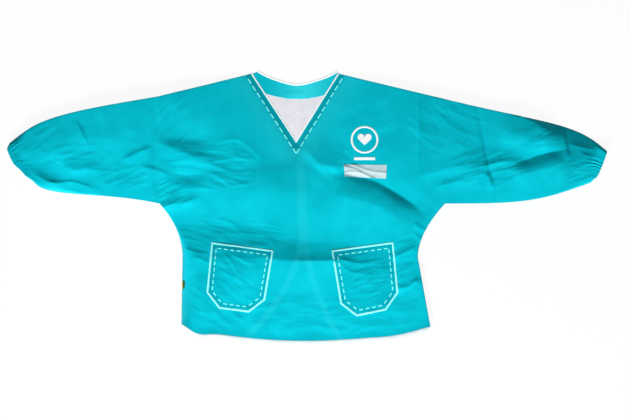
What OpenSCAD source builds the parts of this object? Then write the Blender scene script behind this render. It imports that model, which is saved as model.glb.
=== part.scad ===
// Child's long-sleeved medical play smock, laid face up with its back on the floor.
// Millimetres. +X points to the wearer's left, +Y from hem to neck, +Z up, floor at z = 0.
// The origin is on the floor under the middle of the outline.

/* [Body] */
// Neck points down to the middle of the hem
body_len = 448; // [420:1:476]
// Distance between the two neck points
neck_w = 148; // [140:1:170]
// Drop of the V below the neck points
v_drop = 116; // [100:1:132]
// Width of the back neckline's curve
back_neck_w = 132; // [124:1:138]
// Drop of the back neckline below the neck points
back_neck_drop = 20; // [14:1:26]
// Fall of the shoulder line in degrees
shoulder_fall = 13.8; // [10:0.1:17]
// Width across the two armhole seams
yoke_w = 478; // [450:1:510]
// Drop of the underarms below the neck points
underarm_drop = 218; // [200:1:232]
// Width at the waist
waist_w = 394; // [370:1:420]
// Drop of the waist below the neck points
waist_drop = 308; // [290:1:326]
// Width between the hem corners
hem_w = 417; // [390:1:440]
// Dip of the hem's middle below its corners
hem_dip = 24; // [12:1:34]
// Sideways lean of the neck from the underarms as the smock lies
neck_lean = 10; // [0:1:16]
// Sideways lean of the hem from the underarms, the other way
hem_lean = 6; // [0:1:12]
// Sideways shift of the waist as the smock lies
waist_shift = -6; // [-10:1:2]

/* [Sleeves] */
// Left sleeve, armhole seam to cuff end
left_sleeve_len = 268; // [240:1:300]
// Right sleeve, armhole seam to cuff end
right_sleeve_len = 254; // [226:1:286]
// Drop of the left cuff's upper corner below the neck points
left_cuff_drop = 129; // [115:1:140]
// Drop of the right cuff's upper corner below the neck points
right_cuff_drop = 125; // [112:1:136]
// Turn of the left cuff's end line from straight down, degrees
left_cuff_turn = 22; // [10:1:34]
// Turn of the right cuff's end line from straight down, degrees
right_cuff_turn = 32; // [20:1:42]
// Fullness of the left sleeve above its cuff
left_fullness = 60; // [44:1:72]
// Fullness of the right sleeve above its cuff
right_fullness = 64; // [48:1:76]
// Fall of the left sleeve's upper edge at the shoulder, degrees
left_overarm_fall = 13.8; // [10:0.1:17]
// Fall of the right sleeve's upper edge at the shoulder, degrees
right_overarm_fall = 10.5; // [8:0.1:15]
// Gathered width of a cuff, lying flat
cuff_w = 60; // [52:1:68]
// Height of an open cuff
cuff_h = 13; // [12:0.5:16]
// Length of a cuff casing along the arm
casing_len = 7.5; // [7:0.5:10]
// Width of the cuff elastic
elastic_w = 5; // [4:0.5:6]
// Thickness of the cuff elastic
elastic_t = 1.0; // [0.8:0.1:1.3]

/* [Cloth] */
// Thickness of the cloth
cloth_t = 0.8; // [0.6:0.1:1.0]
// Height of the air between front and back, away from the seams
loft = 12.5; // [11:0.5:15]
// Distance from a seam over which the cloth rises
roll = 13; // [10:0.5:16]
// Gap left between pieces that lie on one another
seat = 0.3; // [0.2:0.05:0.5]
// Gap between a sleeve and the body at the armhole fold
fold_gap = 0.4; // [0.3:0.05:0.6]

/* [Trim] */
// Visible width of the bound edges
binding_w = 5; // [4:0.5:7]
// Visible width of the white edges of the neck
piping_w = 4; // [3:0.5:5]
// Thickness of the binding tape
binding_t = 0.6; // [0.4:0.1:0.8]
// Depth of the V facing
v_facing_w = 20; // [16:1:24]
// Depth of the back neck facing
neck_facing_w = 24; // [22:1:28]
// Distance of the topstitching from a bound edge
stitch_inset = 8.5; // [7:0.5:10]
// Length of one stitch on the pockets
stitch_len = 6.6; // [5:0.1:7]
// Spacing of the stitches on the pockets
stitch_pitch = 9.2; // [8.4:0.1:11]
// Thread width
thread_w = 1.8; // [1.2:0.1:2.4]
// Thread height
thread_t = 0.6; // [0.4:0.1:0.8]

/* [Pockets] */
// Width of a pocket at its mouth
pocket_w = 102; // [92:1:112]
// Height of a pocket
pocket_h = 108; // [98:1:116]
// Size of the cut corners
pocket_corner = 24; // [18:1:30]
// Narrowing of each side down to the cut corner
pocket_taper = 3; // [0:0.5:6]
// Tilt of a pocket, outer end of the mouth higher, degrees
pocket_tilt = 7.6; // [4:0.1:10]
// Middle of a pocket mouth from the centre line
pocket_offset = 100; // [92:1:106]
// Drop of the pocket mouths below the neck points
pocket_drop = 289; // [280:1:300]
// Height to which a pocket gapes
pocket_crown = 8; // [7:0.5:10]

/* [Badges] */
// Width of the name patch
patch_w = 72; // [60:1:80]
// Height of the name patch
patch_h = 22; // [18:1:26]
// Middle of the name patch from the centre line
patch_offset = 108; // [100:1:114]
// Drop of the name patch below the neck points
patch_drop = 163; // [158:1:172]
// Diameter of the emblem's ring
emblem_d = 46; // [40:1:52]
// Width of the emblem's lines
emblem_line = 3.2; // [2.4:0.1:4]
// Middle of the emblem's ring from the centre line
emblem_offset = 109; // [100:1:116]
// Drop of the emblem's ring below the neck points
emblem_drop = 111; // [104:1:114]
// Thickness of the badges' film
badge_t = 0.5; // [0.4:0.1:0.8]

/* [Back opening] */
// Drop of the place where the back edges part
part_drop = 268; // [250:1:290]
// Left back edge from the centre line at the hem
left_part_w = 56; // [40:1:72]
// Right back edge from the centre line at the hem
right_part_w = 98; // [80:1:112]
// Length of the closure tab
tab_len = 42; // [36:1:48]
// Width of the closure tab
tab_w = 14; // [10:1:16]
// Thickness of one closure tape
tape_t = 1.0; // [0.8:0.1:1.2]
// Length of one closure tape
tape_len = 15; // [12:0.5:16]

/* [Side label] */
// Length of the label out of the seam
label_len = 8; // [6:0.5:10]
// Width of the label along the seam
label_w = 13; // [9:0.5:16]
// Drop of the label below the neck points
label_drop = 354; // [340:1:366]

/* [Hidden] */
neck_y = (body_len + binding_t + seat) / 2;
hem_y = neck_y - body_len;
underarm_y = neck_y - underarm_drop;
waist_y = neck_y - waist_drop;
mid_x = (right_sleeve_len - left_sleeve_len) / 2;
// Heights of the two closure tapes together, with their gaps
stack_t = 2 * tape_t + 2 * seat;
// Slope at which the label leans on the front, degrees
label_turn = 46;
// Run of the curves at the armpit, along each underarm and at each cuff
armpit_curve = [26, 28];
left_underarm_run = [118, -2];
right_underarm_run = [88, 19];
left_cuff_sag = [86, 40];
right_cuff_sag = [22, 40];
// Share of the sleeve that the overarm runs straight, and the slope of its fullness at the cuff
overarm_run = 0.6;
fullness_slope = 43;
// Share of the back neckline that is faced and bound, short of the shoulder seams
faced_share = 0.96;
// Share of the hem's right half that shows its binding; the rest is tucked under
hem_bound_share = 0.8;
// Sideways shift of the V's tip from the centre line
v_shift = -5.5;

teal = [0.02, 0.72, 0.80];
deep_teal = [0.01, 0.56, 0.63];
white = [0.95, 0.95, 0.96];
rubber = [0.88, 0.86, 0.80];

// Small helpers for curves. Side s is 1 for the wearer's left, -1 for the right.
function mix(a, b, t) = a + (b - a) * t;
function bezier(p, t) = let(s = 1 - t) s*s*s*p[0] + 3*s*s*t*p[1] + 3*s*t*t*p[2] + t*t*t*p[3];
function curve(p, n) = [for (i = [0:n]) bezier(p, i / n)];
function tangent(w, i) = let(a = w[max(0, i - 1)], b = w[min(len(w) - 1, i + 1)]) (b - a) / norm(b - a);
function shifted(w, d) = [for (i = [0:len(w) - 1]) let(t = tangent(w, i)) w[i] + d * [-t.y, t.x]];
function back_to_front(w) = [for (i = [len(w) - 1:-1:0]) w[i]];
function seg_dist(p, a, b) = let(ab = b - a, t = max(0, min(1, ((p - a) * ab) / (ab * ab))))
    norm(p - a - t * ab);

// Corners of the outline
function centre_x(y) = y > underarm_y ? mid_x - neck_lean * (y - underarm_y) / underarm_drop
    : mid_x + hem_lean * (underarm_y - y) / (body_len - underarm_drop);
function at(off, drop) = let(y = neck_y - drop) [centre_x(y) + off, y];
function neck_pt(s) = at(s * neck_w / 2, 0);
v_tip = at(v_shift, v_drop);
hem_mid = at(0, body_len);
function armhole_x(s) = mid_x + s * yoke_w / 2;
function shoulder_tip(s) = [armhole_x(s),
    neck_y - abs(armhole_x(s) - neck_pt(s).x) * tan(shoulder_fall)];
function underarm(s) = [armhole_x(s), underarm_y];
function waist(s) = at(s * waist_w / 2 + waist_shift, waist_drop);
function hem_corner(s) = hem_mid + [s * hem_w / 2, hem_dip];
function sleeve_len(s) = s > 0 ? left_sleeve_len : right_sleeve_len;
function cuff_turn(s) = s > 0 ? left_cuff_turn : right_cuff_turn;
function cuff_drop(s) = s > 0 ? left_cuff_drop : right_cuff_drop;
function cuff_top(s) = [armhole_x(s) + s * sleeve_len(s), neck_y - cuff_drop(s)];
function cuff_down(s) = [-s * sin(cuff_turn(s)), -cos(cuff_turn(s))];
function cuff_out(s) = [s * cos(cuff_turn(s)), -sin(cuff_turn(s))];
function cuff_mid(s) = cuff_top(s) + cuff_down(s) * cuff_w / 2;
function sleeve_end(s, k) = cuff_top(s) + cuff_down(s) * cuff_w * k - cuff_out(s) * (casing_len + seat);

// Edges of the outline
function hem(s, u) = [mix(hem_mid.x, hem_corner(s).x, u), hem_y + hem_dip * u * u];
function side_low(s) = [for (t = [0:3]) mix(hem_corner(s), waist(s), t / 3)];
function side_high(s) = [waist(s), waist(s) + [0, (underarm_y - waist_y) / 3],
    underarm(s) - [s * armpit_curve.x, armpit_curve.y], underarm(s)];
function overarm(s) = let(f = s > 0 ? left_fullness : right_fullness, run = overarm_run * sleeve_len(s),
    fall = s > 0 ? left_overarm_fall : right_overarm_fall)
    [shoulder_tip(s), shoulder_tip(s) + run * [s * cos(fall), -sin(fall)],
     sleeve_end(s, 0) + f * [-s * cos(fullness_slope), sin(fullness_slope)], sleeve_end(s, 0)];
function underside(s) = let(run = s > 0 ? left_underarm_run : right_underarm_run,
    sag = s > 0 ? left_cuff_sag : right_cuff_sag) [underarm(s), underarm(s) + [s * run.x, run.y],
    sleeve_end(s, 1) - [s * sag.x, sag.y], sleeve_end(s, 1)];

// Rise of the front cloth over the back: loft away from the seams, with the larger folds
seams = [for (s = [-1, 1]) each [concat(curve(side_low(s), 6), curve(side_high(s), 6)),
    curve(underside(s), 9), curve(overarm(s), 9), [neck_pt(s), shoulder_tip(s)]]];
function seam_dist(p) = min([for (w = seams) each [for (i = [0:len(w) - 2]) seg_dist(p, w[i], w[i + 1])]]);
// each fold: from [offset, drop], to [offset, drop], rise, breadth
folds = [
    [[-170, 262], [40, 268], -2.2, 24],
    [[72, 188], [140, 202], -2.4, 22],
    [[140, 202], [206, 236], -2.4, 22],
    [[-230, 66], [-110, 72], -1.8, 22],
    [[-150, 200], [-40, 196], 1.6, 26],
    [[-320, 120], [-250, 96], -1.8, 20],
    [[-460, 150], [-330, 196], -1.6, 18],
    [[270, 130], [350, 112], -2.0, 20],
    [[330, 146], [430, 140], 1.6, 18]];
function fold_end(e) = [mid_x + e.x, neck_y - e.y];
function fold_rise(p) = let(q = [for (f = folds)
    f[2] * exp(-pow(seg_dist(p, fold_end(f[0]), fold_end(f[1])) / f[3], 2))])
    q * [for (f = folds) 1];
function lift(p) = (loft + fold_rise(p)) * (1 - exp(-seam_dist(p) / roll));
function under(p) = cloth_t + lift(p);
function over(p) = under(p) + cloth_t;
function cloth(p) = let(z = under(p)) [p.x, p.y, z, z + cloth_t];
function on_front(p, t) = let(z = over(p) + seat) [p.x, p.y, z, z + t];

// A closed sheet over a grid of [x, y, low, high], rows towards +Y and columns towards +X
module sheet(grid) {
    rows = len(grid);
    cols = len(grid[0]);
    n = rows * cols;
    all = [for (r = grid, g = r) g];
    rim = concat([for (i = [0:cols - 2]) i], [for (j = [0:rows - 2]) j * cols + cols - 1],
        [for (i = [cols - 1:-1:1]) n - cols + i], [for (j = [rows - 1:-1:1]) j * cols]);
    m = len(rim);
    polyhedron(
        points = concat([for (g = all) [g[0], g[1], g[3]]], [for (g = all) [g[0], g[1], g[2]]]),
        faces = concat(
            [for (j = [0:rows - 2], i = [0:cols - 2]) let(a = j * cols + i, b = a + cols)
                each [[a, b, b + 1], [a, b + 1, a + 1],
                    [n + a, n + b + 1, n + b], [n + a, n + a + 1, n + b + 1]]],
            [for (k = [0:m - 1]) let(a = rim[k], b = rim[(k + 1) % m])
                each [[a, b, b + n], [a, b + n, a + n]]]),
        convexity = 8);
}

// A strip with an L section along an edge: one leg on the cloth, one leg down past the edge.
// Each section is [outer low, edge low, edge high, inner low, inner high, outer high].
module edging(sections) {
    n = len(sections);
    cap = [[0, 1, 2], [0, 2, 5], [2, 3, 4], [2, 4, 5]];
    polyhedron(points = [for (s = sections, p = s) p],
        faces = concat(
            [for (j = [0:n - 2], k = [0:5]) let(a = 6 * j + k, b = 6 * j + (k + 1) % 6, c = a + 6, d = b + 6)
                each [[a, d, b], [a, c, d]]],
            cap,
            [for (t = cap) [t[2], t[1], t[0]] + 6 * (n - 1) * [1, 1, 1]]),
        convexity = 6);
}
// Section at the cloth's edge e, from its outer side o and wall w to its inner side i
function l_section(o, w, e, i) = let(zb = under(e), zt = over(e) + seat, zi = over(i) + seat)
    [[o.x, o.y, zb], [w.x, w.y, zb], [w.x, w.y, zt], [i.x, i.y, zi],
     [i.x, i.y, zi + binding_t], [o.x, o.y, zt + binding_t]];
// inward is the unit direction from the edge into the cloth
function edge_section(e, inward) =
    l_section(e - inward * (binding_t + seat), e - inward * seat, e, e + inward * binding_w);

// One thread lying between two points of a surface, given with their heights
module thread(a, b) {
    v = b - a;
    translate((a + b) / 2) rotate([0, -atan2(v.z, norm([v.x, v.y])), atan2(v.y, v.x)])
        translate([0, 0, seat + thread_t / 2]) cube([norm(v), thread_w, thread_t], center = true);
}

// Front panel: a grid spanned between hem, centre, sides and neckline
u_list = [0, 0.09, 0.18, 0.25, 0.3, 0.335, 0.36, 0.4, 0.48, 0.58, 0.69, 0.8, 0.89, 0.95, 1];
u_neck = 0.36;
v_list = [0, 0.06, 0.12, 0.18, 0.24, 0.3, 0.36, 0.42, 0.48, 0.54, 0.59, 0.65, 0.71, 0.77, 0.83,
    0.88, 0.92, 0.95, 0.98, 1];
v_waist = 0.3;
v_under = 0.54;
function front_side(s, v) = v <= v_waist ? bezier(side_low(s), v / v_waist)
    : v <= v_under ? bezier(side_high(s), (v - v_waist) / (v_under - v_waist))
    : mix(underarm(s), shoulder_tip(s), (v - v_under) / (1 - v_under));
function front_top(s, u) = u <= u_neck ? mix(v_tip, neck_pt(s), u / u_neck)
    : mix(neck_pt(s), shoulder_tip(s), (u - u_neck) / (1 - u_neck));
function front_at(s, u, v) = mix(hem(s, u), front_top(s, u), v)
    + u * (front_side(s, v) - mix(hem_corner(s), shoulder_tip(s), v));

module front_panel() color(teal)
    sheet([for (v = v_list) concat(
        [for (i = [len(u_list) - 1:-1:1]) cloth(front_at(-1, u_list[i], v))],
        [for (u = u_list) cloth(front_at(1, u, v))])]);

// Back half: flat, with neckline, centre edge, parting curve, hem, side and armhole
back_gap = binding_t + seat / 2;
neck_r = (back_neck_w * back_neck_w / 4 + back_neck_drop * back_neck_drop) / (2 * back_neck_drop);
// the faced stretch of the neckline, from the centre edge outwards
function neckline(s) = let(n = 9, a = asin(back_neck_w / 2 / neck_r), a0 = asin(back_gap / neck_r),
    c = at(0, back_neck_drop) + [0, neck_r])
    [for (i = [0:n]) let(w = mix(a0, a * faced_share, i / n)) c + neck_r * [s * sin(w), -cos(w)]];
function back_edge(s) = let(e = s * back_gap, w = s > 0 ? left_part_w : right_part_w, u = w / (hem_w / 2),
    p0 = at(e, part_drop), p3 = hem(s, u), h = p0.y - p3.y)
    concat([at(e, back_neck_drop), at(e, (back_neck_drop + part_drop) / 2)],
        curve([p0, p0 - [0, 0.36 * h], p3 + [-s * 0.4 * w, 0.19 * h], p3], 10));
function back_outline(s) = let(u0 = (s > 0 ? left_part_w : right_part_w) / (hem_w / 2)) concat(
    [neck_pt(s)], back_to_front(neckline(s)), [for (i = [1:len(back_edge(s)) - 1]) back_edge(s)[i]],
    [for (i = [1:6]) hem(s, mix(u0, 1, i / 6))], [for (i = [1:7]) bezier(side_low(s), i / 7)],
    [for (i = [1:7]) bezier(side_high(s), i / 7)], [shoulder_tip(s)]);
module back_panel(s) color(teal) linear_extrude(cloth_t) polygon(back_outline(s));
module left_back_panel() back_panel(1);
module right_back_panel() back_panel(-1);

// Back neck facing and its binding
// a flat strip between two offsets of a line
module strip(w, from, to) polygon(concat(shifted(w, from), back_to_front(shifted(w, to))));
module neck_facing(s) color(teal) translate([0, 0, cloth_t]) linear_extrude(cloth_t)
    strip(neckline(s), 0, -s * neck_facing_w);
module left_neck_facing() neck_facing(1);
module right_neck_facing() neck_facing(-1);
module neck_binding(s) color(white) {
    translate([0, 0, 2 * cloth_t]) linear_extrude(binding_t)
        strip(neckline(s), s * binding_t, -s * piping_w);
    linear_extrude(2 * cloth_t + binding_t) strip(neckline(s), 0, s * binding_t);
}
module left_neck_binding() neck_binding(1);
module right_neck_binding() neck_binding(-1);

// Binding of a back half's centre edge, from the facing down to the hem
function bound_edge(s) = let(w = back_edge(s), e = s * back_gap)
    concat([at(e, back_neck_drop + neck_facing_w + 2 * seat)], [for (i = [1:len(w) - 1]) w[i]]);
module back_binding(s) color(white) {
    translate([0, 0, cloth_t]) linear_extrude(binding_t) strip(bound_edge(s), -s * binding_t, s * binding_w);
    linear_extrude(cloth_t + binding_t) strip(bound_edge(s), 0, -s * binding_t);
}
module left_back_binding() back_binding(1);
module right_back_binding() back_binding(-1);

// Sleeves: flat back, lofted front
function sleeve_start(s) = [s * fold_gap, 0];
function sleeve_low(s) = let(p = underside(s)) [p[0] + sleeve_start(s), p[1], p[2], p[3]];
function sleeve_high(s) = let(p = overarm(s))
    [p[0] + sleeve_start(s) - [0, fold_gap * tan(shoulder_fall)], p[1], p[2], p[3]];
across = [0, 0.04, 0.1, 0.18, 0.28, 0.4, 0.5, 0.6, 0.72, 0.82, 0.9, 0.96, 1];
sleeve_cols = 15;
function sleeve_point(s, u, v) = mix(bezier(sleeve_low(s), u), bezier(sleeve_high(s), u), v);
module sleeve_front(s) color(teal) sheet([for (v = across) [for (i = [0:sleeve_cols])
    cloth(sleeve_point(s, (s > 0 ? i : sleeve_cols - i) / sleeve_cols, v))]]);
module left_sleeve_front() sleeve_front(1);
module right_sleeve_front() sleeve_front(-1);
module sleeve_back(s) color(teal) linear_extrude(cloth_t)
    polygon(concat(curve(sleeve_low(s), 12), back_to_front(curve(sleeve_high(s), 12))));
module left_sleeve_back() sleeve_back(1);
module right_sleeve_back() sleeve_back(-1);

// Cuffs: a casing ring with a slot, and the elastic ring in the slot
casing_wall = 2 * cloth_t + elastic_t + 2 * seat;
module slot_shape(inset) let(r = cuff_h / 2 - inset, d = cuff_w / 2 - cuff_h / 2) {
    translate([-d, 0]) circle(r, $fn = 40);
    translate([d, 0]) circle(r, $fn = 40);
    translate([-d, -r]) square([2 * d, 2 * r]);
}
module ring_shape(inset, wall) difference() {
    slot_shape(inset);
    slot_shape(inset + wall);
}
// places a ring so that its axis runs along the arm, ending at the cuff end less `back`
module on_cuff(s, back, len) let(c = cuff_mid(s) - cuff_out(s) * back, d = cuff_out(s))
    translate([c.x, c.y, cuff_h / 2]) rotate([0, 0, atan2(d.y, d.x)]) rotate([90, 0, -90])
        linear_extrude(len) children();
module cuff_casing(s) color(teal) difference() {
    on_cuff(s, 0, casing_len) ring_shape(0, casing_wall);
    on_cuff(s, casing_len - elastic_w - 2 * seat, casing_len) ring_shape(cloth_t, elastic_t + 2 * seat);
}
module left_cuff_casing() cuff_casing(1);
module right_cuff_casing() cuff_casing(-1);
module cuff_elastic(s) color(rubber) on_cuff(s, casing_len - elastic_w - seat, elastic_w)
    ring_shape(cloth_t + seat, elastic_t);
module left_cuff_elastic() cuff_elastic(1);
module right_cuff_elastic() cuff_elastic(-1);

// V neck: facing under the cloth, binding over its edge, topstitching
v_legs = [for (u = u_list) if (u < u_neck) u / u_neck];
function v_inward(s) = let(d = (neck_pt(s) - v_tip) / norm(neck_pt(s) - v_tip)) s * [d.y, -d.x];
function v_mitre(w) = let(a = v_inward(1), b = v_inward(-1), m = (a + b) / norm(a + b))
    v_tip + m * w / (m * a);
// point at depth w into the cloth, t of the way up a leg
function v_at(s, t, w) = mix(v_mitre(w), neck_pt(s) + v_inward(s) * w, t);
function v_row(w, n) = concat([for (i = [n:-1:1]) v_at(-1, v_legs[i], w)],
    [for (i = [0:n]) v_at(1, v_legs[i], w)]);
module v_facing() color(deep_teal)
    sheet([for (k = [1, 0.5, 0]) [for (p = v_row(v_facing_w * k, len(v_legs) - 2))
        let(z = under(p) - seat) [p.x, p.y, z - cloth_t, z]]]);
function v_section(s, t) =
    l_section(v_at(s, t, -binding_t - seat), v_at(s, t, -seat), v_at(s, t, 0), v_at(s, t, piping_w));
module v_binding() color(white)
    edging(concat([for (i = [len(v_legs) - 1:-1:1]) v_section(-1, v_legs[i])],
        [for (t = v_legs) v_section(1, t)]));
// stitches on each leg, and where one starts and ends in its step
v_stitch_n = 11;
v_stitch_span = [0.2, 0.88];
v_stitch_spare = 1.4;
function v_stitch(s, i, k) = let(p = v_at(s, (i + v_stitch_span[k]) / (v_stitch_n + v_stitch_spare),
    stitch_inset + piping_w / 2)) [p.x, p.y, over(p)];
module v_stitching() color(white) for (s = [-1, 1], i = [0:v_stitch_n - 1])
    thread(v_stitch(s, i, 0), v_stitch(s, i, 1));

// Binding along the front hem
hem_stations = concat(
    [for (i = [len(u_list) - 1:-1:1]) if (u_list[i] <= hem_bound_share) [-1, u_list[i]]],
    [for (u = u_list) if (u < 1) [1, u]]);
module front_hem_binding() color(white) edging([for (r = back_to_front(hem_stations))
    let(t = [hem_w / 2, r[0] * 2 * hem_dip * r[1]], n = [-t.y, t.x] / norm(t))
        edge_section(hem(r[0], r[1]), n)]);

// Pockets. Local x runs outward along the mouth, local y up from the mouth.
pocket_rows = [-1, -0.93, -0.85, -0.78, -0.66, -0.54, -0.42, -0.3, -0.18, -0.08, 0];
pocket_cols = [-1, -0.9, -0.75, -0.5, -0.25, 0, 0.25, 0.5, 0.75, 0.9, 1];
function pocket_map(s, q) = at(s * pocket_offset, pocket_drop)
    + [s * (q.x * cos(pocket_tilt) - q.y * sin(pocket_tilt)),
       q.x * sin(pocket_tilt) + q.y * cos(pocket_tilt)];
function pocket_half(y) = let(straight = pocket_h - pocket_corner)
    -y <= straight ? pocket_w / 2 - pocket_taper * -y / straight
        : pocket_w / 2 - pocket_taper - (-y - straight);
function pocket_rise(q) = let(u = min(1, abs(q.x) / pocket_half(q.y)), v = min(1, -q.y / pocket_h))
    pocket_crown * (1 - pow(u, 4)) * (1 - pow(v, 3));
function pocket_top(s, q) = let(p = pocket_map(s, q)) [p.x, p.y, over(p) + seat + pocket_rise(q) + cloth_t];
function pocket_film(s, q, t) = let(p = pocket_top(s, q)) [p.x, p.y, p.z + seat, p.z + seat + t];
module pocket(s) color(teal) sheet([for (r = pocket_rows) [for (c = pocket_cols)
    let(y = r * pocket_h, p = pocket_top(s, [s * c * pocket_half(y), y])) [p.x, p.y, p.z - cloth_t, p.z]]]);
module left_pocket() pocket(1);
module right_pocket() pocket(-1);
// corners of the outline moved in by d, from the middle of the mouth and round
mitre = tan(22.5);
function pocket_loop(d) = let(a = pocket_w / 2 - d, b = a - pocket_taper,
    y = pocket_corner - pocket_h + mitre * d, c = pocket_w / 2 - pocket_taper - pocket_corner - mitre * d)
    [[0, -d], [a, -d], [b, y], [c, d - pocket_h], [-c, d - pocket_h], [-b, y], [-a, -d], [0, -d]];
function along(loop, n) = concat(
    [for (i = [0:len(loop) - 2], k = [0:n - 1]) mix(loop[i], loop[i + 1], k / n)],
    [loop[len(loop) - 1]]);
// edge strip between two insets, with its two ends a seat apart at the middle of the mouth
pocket_edge = [0.4, 3.8];
pocket_edge_n = 9;
module pocket_binding(s) color(white) let(
    loops = [for (d = pocket_edge) along(pocket_loop(d), pocket_edge_n)],
    m = len(loops[0]) - 1, ends = [for (i = [0:m]) i == 0 ? [seat, 0] : i == m ? [-seat, 0] : [0, 0]])
    sheet([for (w = [loops[1], loops[0]]) [for (i = [0:m]) let(k = s > 0 ? i : m - i)
        pocket_film(s, w[k] + ends[k], binding_t)]]);
module left_pocket_binding() pocket_binding(1);
module right_pocket_binding() pocket_binding(-1);
module pocket_stitching(s) color(white) let(w = pocket_loop(stitch_inset), h = stitch_len / 2)
    for (i = [0:len(w) - 2]) let(side = norm(w[i + 1] - w[i]), n = max(1, floor(side / stitch_pitch)))
        for (k = [0:n - 1]) let(m = (k + 0.5) * side / n, ends = [(m - h) / side, (m + h) / side])
            thread(pocket_top(s, mix(w[i], w[i + 1], ends[0])), pocket_top(s, mix(w[i], w[i + 1], ends[1])));
module left_pocket_stitching() pocket_stitching(1);
module right_pocket_stitching() pocket_stitching(-1);

// Name patch and emblem, films on the left chest
patch_at = at(patch_offset, patch_drop);
module name_patch() color(white) sheet([for (j = [-2:2]) [for (i = [-5:5])
    on_front(patch_at + [i / 5 * patch_w / 2, j / 2 * patch_h / 2], badge_t)]]);
emblem_at = at(emblem_offset, emblem_drop);
function heart_top(x) = 0.55 * sqrt(1 - pow(2 * abs(x) - 1, 2)) + 0.02;
function heart_low(x) = -pow(1 - abs(x), 0.85);
heart_size = 0.26 * emblem_d;
heart_up = 0.06 * emblem_d;
module chest_emblem() color(white) let(n = 40, r = emblem_d / 2, cut = 0.5) {
    sheet([for (q = [r, r - emblem_line]) [for (i = [0:n]) let(a = -90 - cut + (-360 + 2 * cut) * (n - i) / n)
        on_front(emblem_at + q * [cos(a), sin(a)], badge_t)]]);
    sheet([for (j = [0:4]) [for (i = [-8:8]) let(x = i / 8.2, y = mix(heart_low(x), heart_top(x), j / 4))
        on_front(emblem_at + [0, heart_up] + heart_size * [x, y], badge_t)]]);
    sheet([for (j = [-1, 1]) [for (i = [-4:4])
        on_front(emblem_at + [i / 4 * emblem_d * 0.38, -r - 9 + j * emblem_line * 0.7], badge_t)]]);
}

// Closure on the back neck facing: a tab sewn to the left half, hooks under it, loops on the right half
tab_room = 4.5;
tab_y = neck_y - back_neck_drop - piping_w - tab_room - tab_w / 2;
tab_floor = 2 * cloth_t;
// the tapes stop short of the right half's edge, and the tab reaches a little past them
tape_x = centre_x(tab_y) - back_gap - binding_w - tape_len;
tab_root = tape_x - 1 + tab_len;
module on_back(x, len, z, t) translate([x, tab_y - tab_w / 2, z]) cube([len, tab_w, t]);
// sewn length of the tab, and where its slope up to the tapes ends
tab_step = [5, 12];
module closure_tab() color(teal) let(low = tab_floor + seat, high = low + stack_t,
    line = [[0, low], [tab_step[0], low], [tab_step[1], high], [tab_len, high]])
    translate([tab_root, tab_y + tab_w / 2, 0]) rotate([90, 0, 0]) linear_extrude(tab_w)
        polygon(concat([for (p = line) [-p.x, p.y + cloth_t]], [for (p = back_to_front(line)) [-p.x, p.y]]));
module hook_tape() color(white) on_back(tape_x, tape_len, tab_floor + tape_t + 2 * seat, tape_t);
module loop_tape() color(white) on_back(tape_x, tape_len, tab_floor, tape_t);

// Label in the right side seam, turned up over the front
label_at = let(y = neck_y - label_drop, t = (y - hem_corner(-1).y) / (waist_y - hem_corner(-1).y))
    bezier(side_low(-1), t);
module side_label() color(deep_teal)
    translate([label_at.x + 0.4, label_at.y - label_w / 2, 2 * cloth_t + 2 * seat])
        rotate([0, -label_turn, 0]) cube([label_len, label_w, 2 * cloth_t]);

front_panel();
left_back_panel();
right_back_panel();
left_sleeve_front();
left_sleeve_back();
right_sleeve_front();
right_sleeve_back();
left_cuff_casing();
right_cuff_casing();
left_cuff_elastic();
right_cuff_elastic();
v_facing();
v_binding();
v_stitching();
left_neck_facing();
right_neck_facing();
left_neck_binding();
right_neck_binding();
left_back_binding();
right_back_binding();
front_hem_binding();
left_pocket();
right_pocket();
left_pocket_binding();
right_pocket_binding();
left_pocket_stitching();
right_pocket_stitching();
name_patch();
chest_emblem();
side_label();
closure_tab();
hook_tape();
loop_tape();
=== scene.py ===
import math

import bmesh
import bpy
import numpy as np
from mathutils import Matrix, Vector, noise


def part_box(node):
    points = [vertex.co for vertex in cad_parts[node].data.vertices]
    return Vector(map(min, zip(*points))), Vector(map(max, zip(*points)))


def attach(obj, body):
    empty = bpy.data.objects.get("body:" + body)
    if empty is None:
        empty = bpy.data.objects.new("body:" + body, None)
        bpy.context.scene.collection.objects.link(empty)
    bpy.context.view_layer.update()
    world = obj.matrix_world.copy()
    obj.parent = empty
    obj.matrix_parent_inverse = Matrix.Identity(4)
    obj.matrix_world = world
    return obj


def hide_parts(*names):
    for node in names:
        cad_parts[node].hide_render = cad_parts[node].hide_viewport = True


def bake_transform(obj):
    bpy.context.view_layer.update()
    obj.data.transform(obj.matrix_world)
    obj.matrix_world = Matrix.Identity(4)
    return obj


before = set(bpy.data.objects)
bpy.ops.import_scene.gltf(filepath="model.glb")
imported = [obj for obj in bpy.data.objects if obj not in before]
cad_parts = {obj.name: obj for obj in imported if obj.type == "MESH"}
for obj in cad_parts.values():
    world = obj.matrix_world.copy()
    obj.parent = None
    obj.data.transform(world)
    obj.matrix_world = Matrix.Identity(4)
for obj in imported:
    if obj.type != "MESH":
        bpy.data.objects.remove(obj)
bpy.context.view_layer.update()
print("frame loaded:", len(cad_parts), "nodes")
mm = 0.001  # lengths below are millimetres until a mesh is made
sides = {1: "left", -1: "right"}  # the wearer's sides; left lies towards +X

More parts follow.
